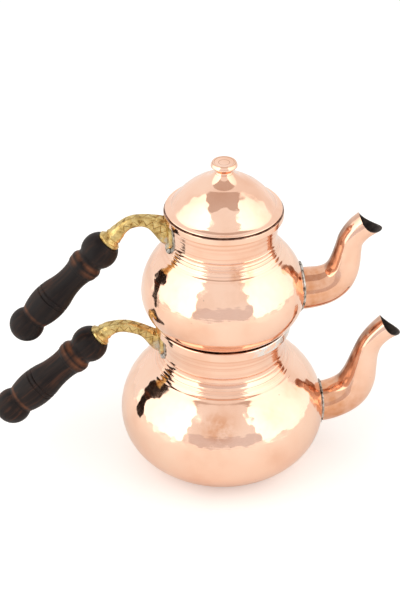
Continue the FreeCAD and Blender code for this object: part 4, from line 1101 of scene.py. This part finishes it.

# %% [markdown]
# ## Marks on the vessels
# Tin has run over part of the kettle's rim. Shade is painted into the crease below each rim, under
# the rolled band, and painted shade darkens the rims' upper edges, where the pot sits on the kettle
# and the lid on the pot. The necks show broader spinning lines, redder in their hollows. These
# could be painted by hand on an image, but each follows a height, so spreads of the height make
# them at any size. Heat has stained the copper round the arms and the spouts, and one darker spot
# on the kettle's front is a painted reflection.

# %% Vessel copper
def add_rim_marks(copper, crease, gap_shade_above, tin_from):
    """Tin run over the rim band where x is large, painted shade below the band and on its upper
    edge.
    """
    height = copper.coordinate(copper.place, "Z")
    above = copper.spread(height, crease - 0.6 * mm, crease + 0.4 * mm)
    right = copper.spread(copper.coordinate(copper.place, "X"), tin_from, tin_from + 18 * mm)
    smear = copper.spread(copper.patches(6 * mm, 3), 0.38, 0.5)
    tinned_part = copper.both(above, copper.both(right, smear))
    copper.stain(tinned_part, tin_white)
    # Painted shade: a darker band in the crease under the rolled rim band's overhang.
    below = copper.spread(height, crease - 3.0 * mm, crease - 1.7 * mm, 0.0, 0.8)
    overhang_shade_top = copper.spread(height, crease, crease + 0.4 * mm, 1.0, 0.0)
    copper.stain(copper.both(below, overhang_shade_top), heat_stain_painted_shade_and_reflection)
    # Painted shade on the rim's upper edge, in the gap where the pot sits on the kettle and the lid
    # on the pot.
    edge = copper.spread(height, gap_shade_above, gap_shade_above + 0.25 * mm)
    uneven = copper.spread(copper.patches(9 * mm, 3), 0.3, 0.55, 0.55, 1.0)
    painted_gap_shade = copper.both(edge, uneven)
    copper.stain(painted_gap_shade, painted_gap_shade_colour)
    matt = copper.spread(copper.calculated("MAXIMUM", tinned_part, painted_gap_shade), 0, 1, 0, 0.32)
    copper.set("Roughness", copper.calculated("MAXIMUM", copper.now("Roughness"), matt))


def add_neck_lines(copper, low, high, width, depth):
    """Broader spinning lines on a neck between two heights, a little redder in their hollows."""
    height = copper.coordinate(copper.place, "Z")
    lines = copper.patches((300 * mm, 300 * mm, width), 1)
    on_neck = copper.both(copper.spread(height, low, low + 5 * mm),
                          copper.spread(height, high - 2 * mm, high, 1.0, 0.0))
    copper.relief(copper.both(lines, on_neck), depth, 1.0)
    copper.stain(copper.both(copper.spread(lines, 0.46, 0.66, 0.0, 0.75), on_neck), neck_red)


def foot_of(node, low_share):
    """A point on the side where the arm meets the neck."""
    low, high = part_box(node)
    return Vector((high.x, 0, low.z + (high.z - low.z) * low_share))


def on_skin(radius, height, turn):
    """A point on a vessel, turned right in degrees from the side that faces the camera."""
    facing = math.atan2(-math.cos(view_turn), -math.sin(view_turn)) + math.radians(turn)
    return Vector((radius * math.cos(facing), radius * math.sin(facing), height))


# The third point, on the kettle's front, is a painted reflection, laid into the colour as a darker,
# redder patch.
kettle_copper = copper_finish(
    "kettle_polished_copper", 0.07 * mm,
    heat_and_painted_reflection_spots=((foot_of("kettle_bracket", 0.2), 17 * mm), (kettle_spout_root, 30 * mm),
            (on_skin(80 * mm, 84 * mm, -3), 17 * mm)))
add_rim_marks(kettle_copper, kettle.crease, kettle.top - 0.3 * mm, 12 * mm)
add_neck_lines(kettle_copper, 100 * mm, kettle.crease, 2.2 * mm, 0.16 * mm)
pot_copper = copper_finish(
    "pot_polished_copper", 0.07 * mm,
    heat_and_painted_reflection_spots=((foot_of("pot_bracket", 0.2), 15 * mm), (pot_spout_root, 28 * mm),
            (on_skin(50 * mm, pot.base + 84 * mm, 17), 13 * mm)))
no_tin = 200 * mm  # past the pot's widest point
add_rim_marks(pot_copper, pot.base + pot.crease, pot.base + pot.top - 0.75 * mm, no_tin)
add_neck_lines(pot_copper, pot.base + 76 * mm, pot.base + pot.crease, 2.0 * mm, 0.16 * mm)
print("nodes in the kettle's copper:", len(kettle_copper.nodes))

# %% [markdown]
# ## Marks on the spouts and the knob
# Where a spout faces its vessel, a dark reflection is painted in brown, and where it faces the
# floor, shade is painted in brown. The face's direction tells where, which saves painting. The
# roots were heated for soldering and are warmer in tone. The knob's turned rings hold a little
# dirt, so they show as thin brown circles round the axis.

# %% Spout and knob copper
def add_painted_spout_shade(copper):
    """A painted dark reflection where a spout faces its vessel, and painted shade where it faces
    the floor, both in brown.
    """
    facing = copper.add("ShaderNodeNewGeometry", {}, "Normal")
    inner = copper.spread(copper.coordinate(facing, "X"), -0.42, -0.92)
    under = copper.spread(copper.coordinate(facing, "Z"), -0.80, -0.99, 0.0, 0.7)
    painted_dark_side = copper.calculated("MAXIMUM", inner, under)
    cloud = copper.spread(copper.patches((6 * mm, 6 * mm, 14 * mm), 4), 0.25, 0.6, 0.4, 1.0)
    # Painted reflection and painted shade: brown laid into the colour on the side facing the vessel
    # and on the underside.
    copper.stain(copper.both(painted_dark_side, cloud), painted_spout_shade_brown)


def add_turned_rings(copper, radii, width):
    """Dark fine rings round the upright axis."""
    flat = copper.add("ShaderNodeVectorMath", {0: copper.place, 1: (1, 1, 0)}, "Vector",
                      operation="MULTIPLY")
    from_axis = copper.length(flat)
    for radius in radii:
        ring = copper.both(copper.spread(from_axis, radius - width, radius),
                           copper.spread(from_axis, radius, radius + width, 1.0, 0.0))
        copper.stain(ring, ring_brown)


spout_copper = copper_finish("spout_polished_copper", 0.02 * mm, tones=spout_tones,
                             heat_and_painted_reflection_spots=((kettle_spout_root, 54 * mm), (pot_spout_root, 50 * mm)),
                             stain=spout_heat_stain, cloud_range=(0.05, 0.75))
add_painted_spout_shade(spout_copper)
knob_copper = copper_finish("knob_polished_copper", 0.02 * mm)
add_turned_rings(knob_copper, (4.6 * mm, 8.3 * mm, 9.8 * mm), 0.5 * mm)
print("nodes in the spouts' copper:", len(spout_copper.nodes))

# %% [markdown]
# ## Tin and steel
# Inside, the vessels are wiped with tin, which is pale and soft in its gloss. In the spouts it has
# gone nearly black. The solder is duller, with dark spots where flux has burnt, and the few steel
# parts are plain. All are one idea with other numbers: a soft noise drives both colour and gloss.

# %% Tin and steel
def clouded_finish(name, metallic, size, detail, tones, rough):
    """A metal whose colour and gloss follow one noise; rough is what spread reads it as."""
    finish = Finish(name, metallic)
    cloud = finish.patches(size, detail)
    finish.set("Base Color", finish.ramp(cloud, tones))
    finish.set("Roughness", finish.spread(cloud, *rough))
    return finish


tinned = clouded_finish("tinned_inside", 1.0, 22 * mm, 4,
                        ((0.3, (0.62, 0.60, 0.56)), (0.7, (0.84, 0.82, 0.78))),
                        (0.2, 0.8, 0.26, 0.42))
tinned.relief(tinned.patches((33 * mm, 33 * mm, 2 * mm), 2), 0.05 * mm, 0.5)
tarnished = clouded_finish("tarnished_spout_inside", 0.5, 5 * mm, 4,
                           ((0.35, (0.020, 0.014, 0.011)), (0.7, (0.075, 0.055, 0.045))),
                           (0.2, 0.8, 0.45, 0.7))
solder = clouded_finish("dull_tin_solder", 0.85, 3.2 * mm, 4,
                        ((0.38, (0.05, 0.04, 0.03)), (0.46, (0.34, 0.31, 0.27)),
                         (0.64, (0.60, 0.58, 0.54))), (0.3, 0.7, 0.55, 0.32))
solder.relief(solder.patches(1.1 * mm, 3), 0.12 * mm, 0.6)
steel = clouded_finish("plain_steel", 1.0, 3 * mm, 3,
                       ((0.3, (0.42, 0.42, 0.43)), (0.7, (0.60, 0.60, 0.61))),
                       (0.2, 0.8, 0.28, 0.42))
print("tin and steel:", [finish.material.name for finish in (tinned, tarnished, solder, steel)])

# %% [markdown]
# ## Cast brass
# The arms were never polished bright. Brown grime sits in the grain of the sand and in the zigzag,
# and tin has smeared over their feet. Where the grime sits could be guessed from the slope of the
# faces, but the modelling already wrote it into the mesh attribute, so the finish just reads that.

# %% Brass
brass_tones = ((0.32, (0.26, 0.15, 0.045)), (0.44, (0.56, 0.39, 0.14)), (0.62, (0.70, 0.53, 0.23)))
deep_grime, dull_tin = (0.19, 0.11, 0.035), (0.50, 0.45, 0.37)


def brass_finish(name, foot):
    brass = clouded_finish(name, 1.0, 5 * mm, 5, brass_tones, (0.3, 0.7, 0.42, 0.2))
    deep = brass.add("ShaderNodeAttribute", {}, "Fac", attribute_name="grime")
    brass.stain(brass.spread(deep, 0.25, 0.9, 0.0, 0.85), deep_grime)
    smear = brass.spread(brass.patches(4 * mm, 3), 0.44, 0.54)
    brass.stain(brass.both(brass.near_point(foot, 9 * mm, 15 * mm), smear), dull_tin)
    brass.relief(brass.patches(1.4 * mm, 4), 0.3 * mm, 0.8)
    return brass


kettle_brass = brass_finish("kettle_cast_brass", foot_of("kettle_bracket", 0.1))
pot_brass = brass_finish("pot_cast_brass", foot_of("pot_bracket", 0.1))
print("nodes in the kettle's brass:", len(kettle_brass.nodes))

# %% [markdown]
# ## Stained wood
# The grips are stained nearly black and waxed. Red-brown shows through in streaks along the grain,
# and where the stain is worn off the edges beside the grooves. The grain could be a wood picture,
# but noise stretched along the handle never repeats. Each grip has its own material that is turned
# to its own droop, and the wear is a ramp along the grip's length.

# %% Wood
black, half_worn, worn = (0, 0, 0), (0.7, 0.7, 0.7), (1, 1, 1)
worn_places = ((0.115, black), (0.145, worn), (0.175, black), (0.20, half_worn), (0.245, black),
               (0.84, black), (0.862, half_worn), (0.89, black))
worn_brown = (0.17, 0.060, 0.026)


def wood_finish(name, grip_at, droop, span, warmth):
    wood = Finish(name, metallic=0.0)
    along = (0, math.radians(-(droop + 90)), 0)
    grain = wood.patches((3 * mm, 3 * mm, 60 * mm), 6, turn=along)
    streaks = wood.patches((10 * mm, 10 * mm, 90 * mm), 3, turn=along)
    tones = ((0.18, (0.008, 0.005, 0.005)), (0.30, (0.018, 0.010, 0.008)),
             (0.50 - warmth, (0.050, 0.020, 0.012)))
    wood.set("Base Color", wood.ramp(wood.both(grain, streaks), tones))
    share_along = wood.coordinate(wood.turned_place((span,) * 3, along, grip_at), "Z")
    wear = wood.both(wood.ramp(share_along, worn_places), wood.spread(streaks, 0.3, 0.62))
    wood.stain(wear, worn_brown)
    wood.set("Roughness", wood.spread(grain, 0.3, 0.7, 0.42, 0.58))
    wood.set("Specular IOR Level", 0.16)
    wood.relief(grain, 0.05 * mm, 0.35)
    return wood


kettle_span, pot_span = kettle_profile[0], pot_profile[0]
kettle_wood = wood_finish("kettle_stained_wood", kettle_grip_at, kettle_droop, kettle_span, 0.10)
pot_wood = wood_finish("pot_stained_wood", pot_grip_at, pot_droop, pot_span, 0.01)
print("nodes in the kettle grip's wood:", len(kettle_wood.nodes))

# %% [markdown]
# ## Put the finishes on
# Every new piece hides the solid that it stands for, moves with a body, which is the first word of
# the solid's name, and takes its finishes. The shells are copper outside and tinned inside, so each
# has two materials: faces that look towards the axis get the tin, up to the rim.

# %% Dress, replace and ride
def settle(piece, finishes, node):
    for place, finish in zip(piece.material_slots, finishes):
        place.material = finish.material
    for finish in finishes[len(piece.material_slots):]:
        piece.data.materials.append(finish.material)
    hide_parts(node)
    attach(piece, node.split("_")[0])


def tin_inside(piece, tinned_below, floor_above):
    """Give the faces of the cavity the second material slot."""
    count = 0
    for face in piece.data.polygons:
        outward = Vector((face.center.x, face.center.y, 0))
        inward = outward.length > 1 * mm and outward.normalized().dot(face.normal) < 0
        hollow_floor = face.normal.z > 0.2 and face.center.z < floor_above
        if (inward or hollow_floor) and face.center.z < tinned_below:
            face.material_index = 1
            count += 1
    print(piece.name, "tinned faces:", count)


for shell in (kettle_shell, pot_shell):
    shell.data.materials.clear()
dressed = ((kettle_shell, (kettle_copper, tinned), "kettle_body", "kettle_copper"),
           (kettle_spout, (spout_copper, tarnished), "kettle_spout", "kettle_copper"),
           (kettle_bracket, (kettle_brass,), "kettle_bracket", "cast_brass"),
           (kettle_grip, (kettle_wood,), "kettle_grip", "dark_wood"),
           (pot_shell, (pot_copper, tinned), "pot_body", "pot_copper"),
           (pot_spout, (spout_copper, tarnished), "pot_spout", "pot_copper"),
           (pot_bracket, (pot_brass,), "pot_bracket", "cast_brass"),
           (pot_grip, (pot_wood,), "pot_grip", "dark_wood"),
           (lid_dome, (lid_copper,), "lid_dome", "lid_copper"),
           (lid_knob, (knob_copper,), "lid_knob", "lid_copper"))
for piece, finishes, node, slot in dressed:
    settle(piece, finishes, node)
for node, piece in tin_pieces.items():
    settle(piece, (solder,), node)
tin_inside(kettle_shell, kettle.crease, 20 * mm)
tin_inside(pot_shell, pot.base + pot.crease, pot.base + 15 * mm)
print("pieces settled:", len(dressed) + len(tin_pieces))

# %% [markdown]
# ## Solids that stay
# The rivets, studs, collar, screw and washer are small or hidden. Their solids are good as they
# are, and modelling them again would show nothing new, so each only gets a finish.

# %% Finish the solids that stay
kept_solids = (("kettle_bracket_rivets", rivet_copper), ("pot_bracket_rivets", rivet_copper),
               ("kettle_grip_stud", steel), ("pot_grip_stud", steel), ("lid_collar", lid_copper),
               ("lid_knob_screw", steel), ("lid_knob_washer", steel))
for node, finish in kept_solids:
    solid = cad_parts[node]
    for slot in solid.material_slots:
        slot.material = finish.material
    if not solid.material_slots:
        solid.data.materials.append(finish.material)
print("solids kept:", len(kept_solids))

# %% [markdown]
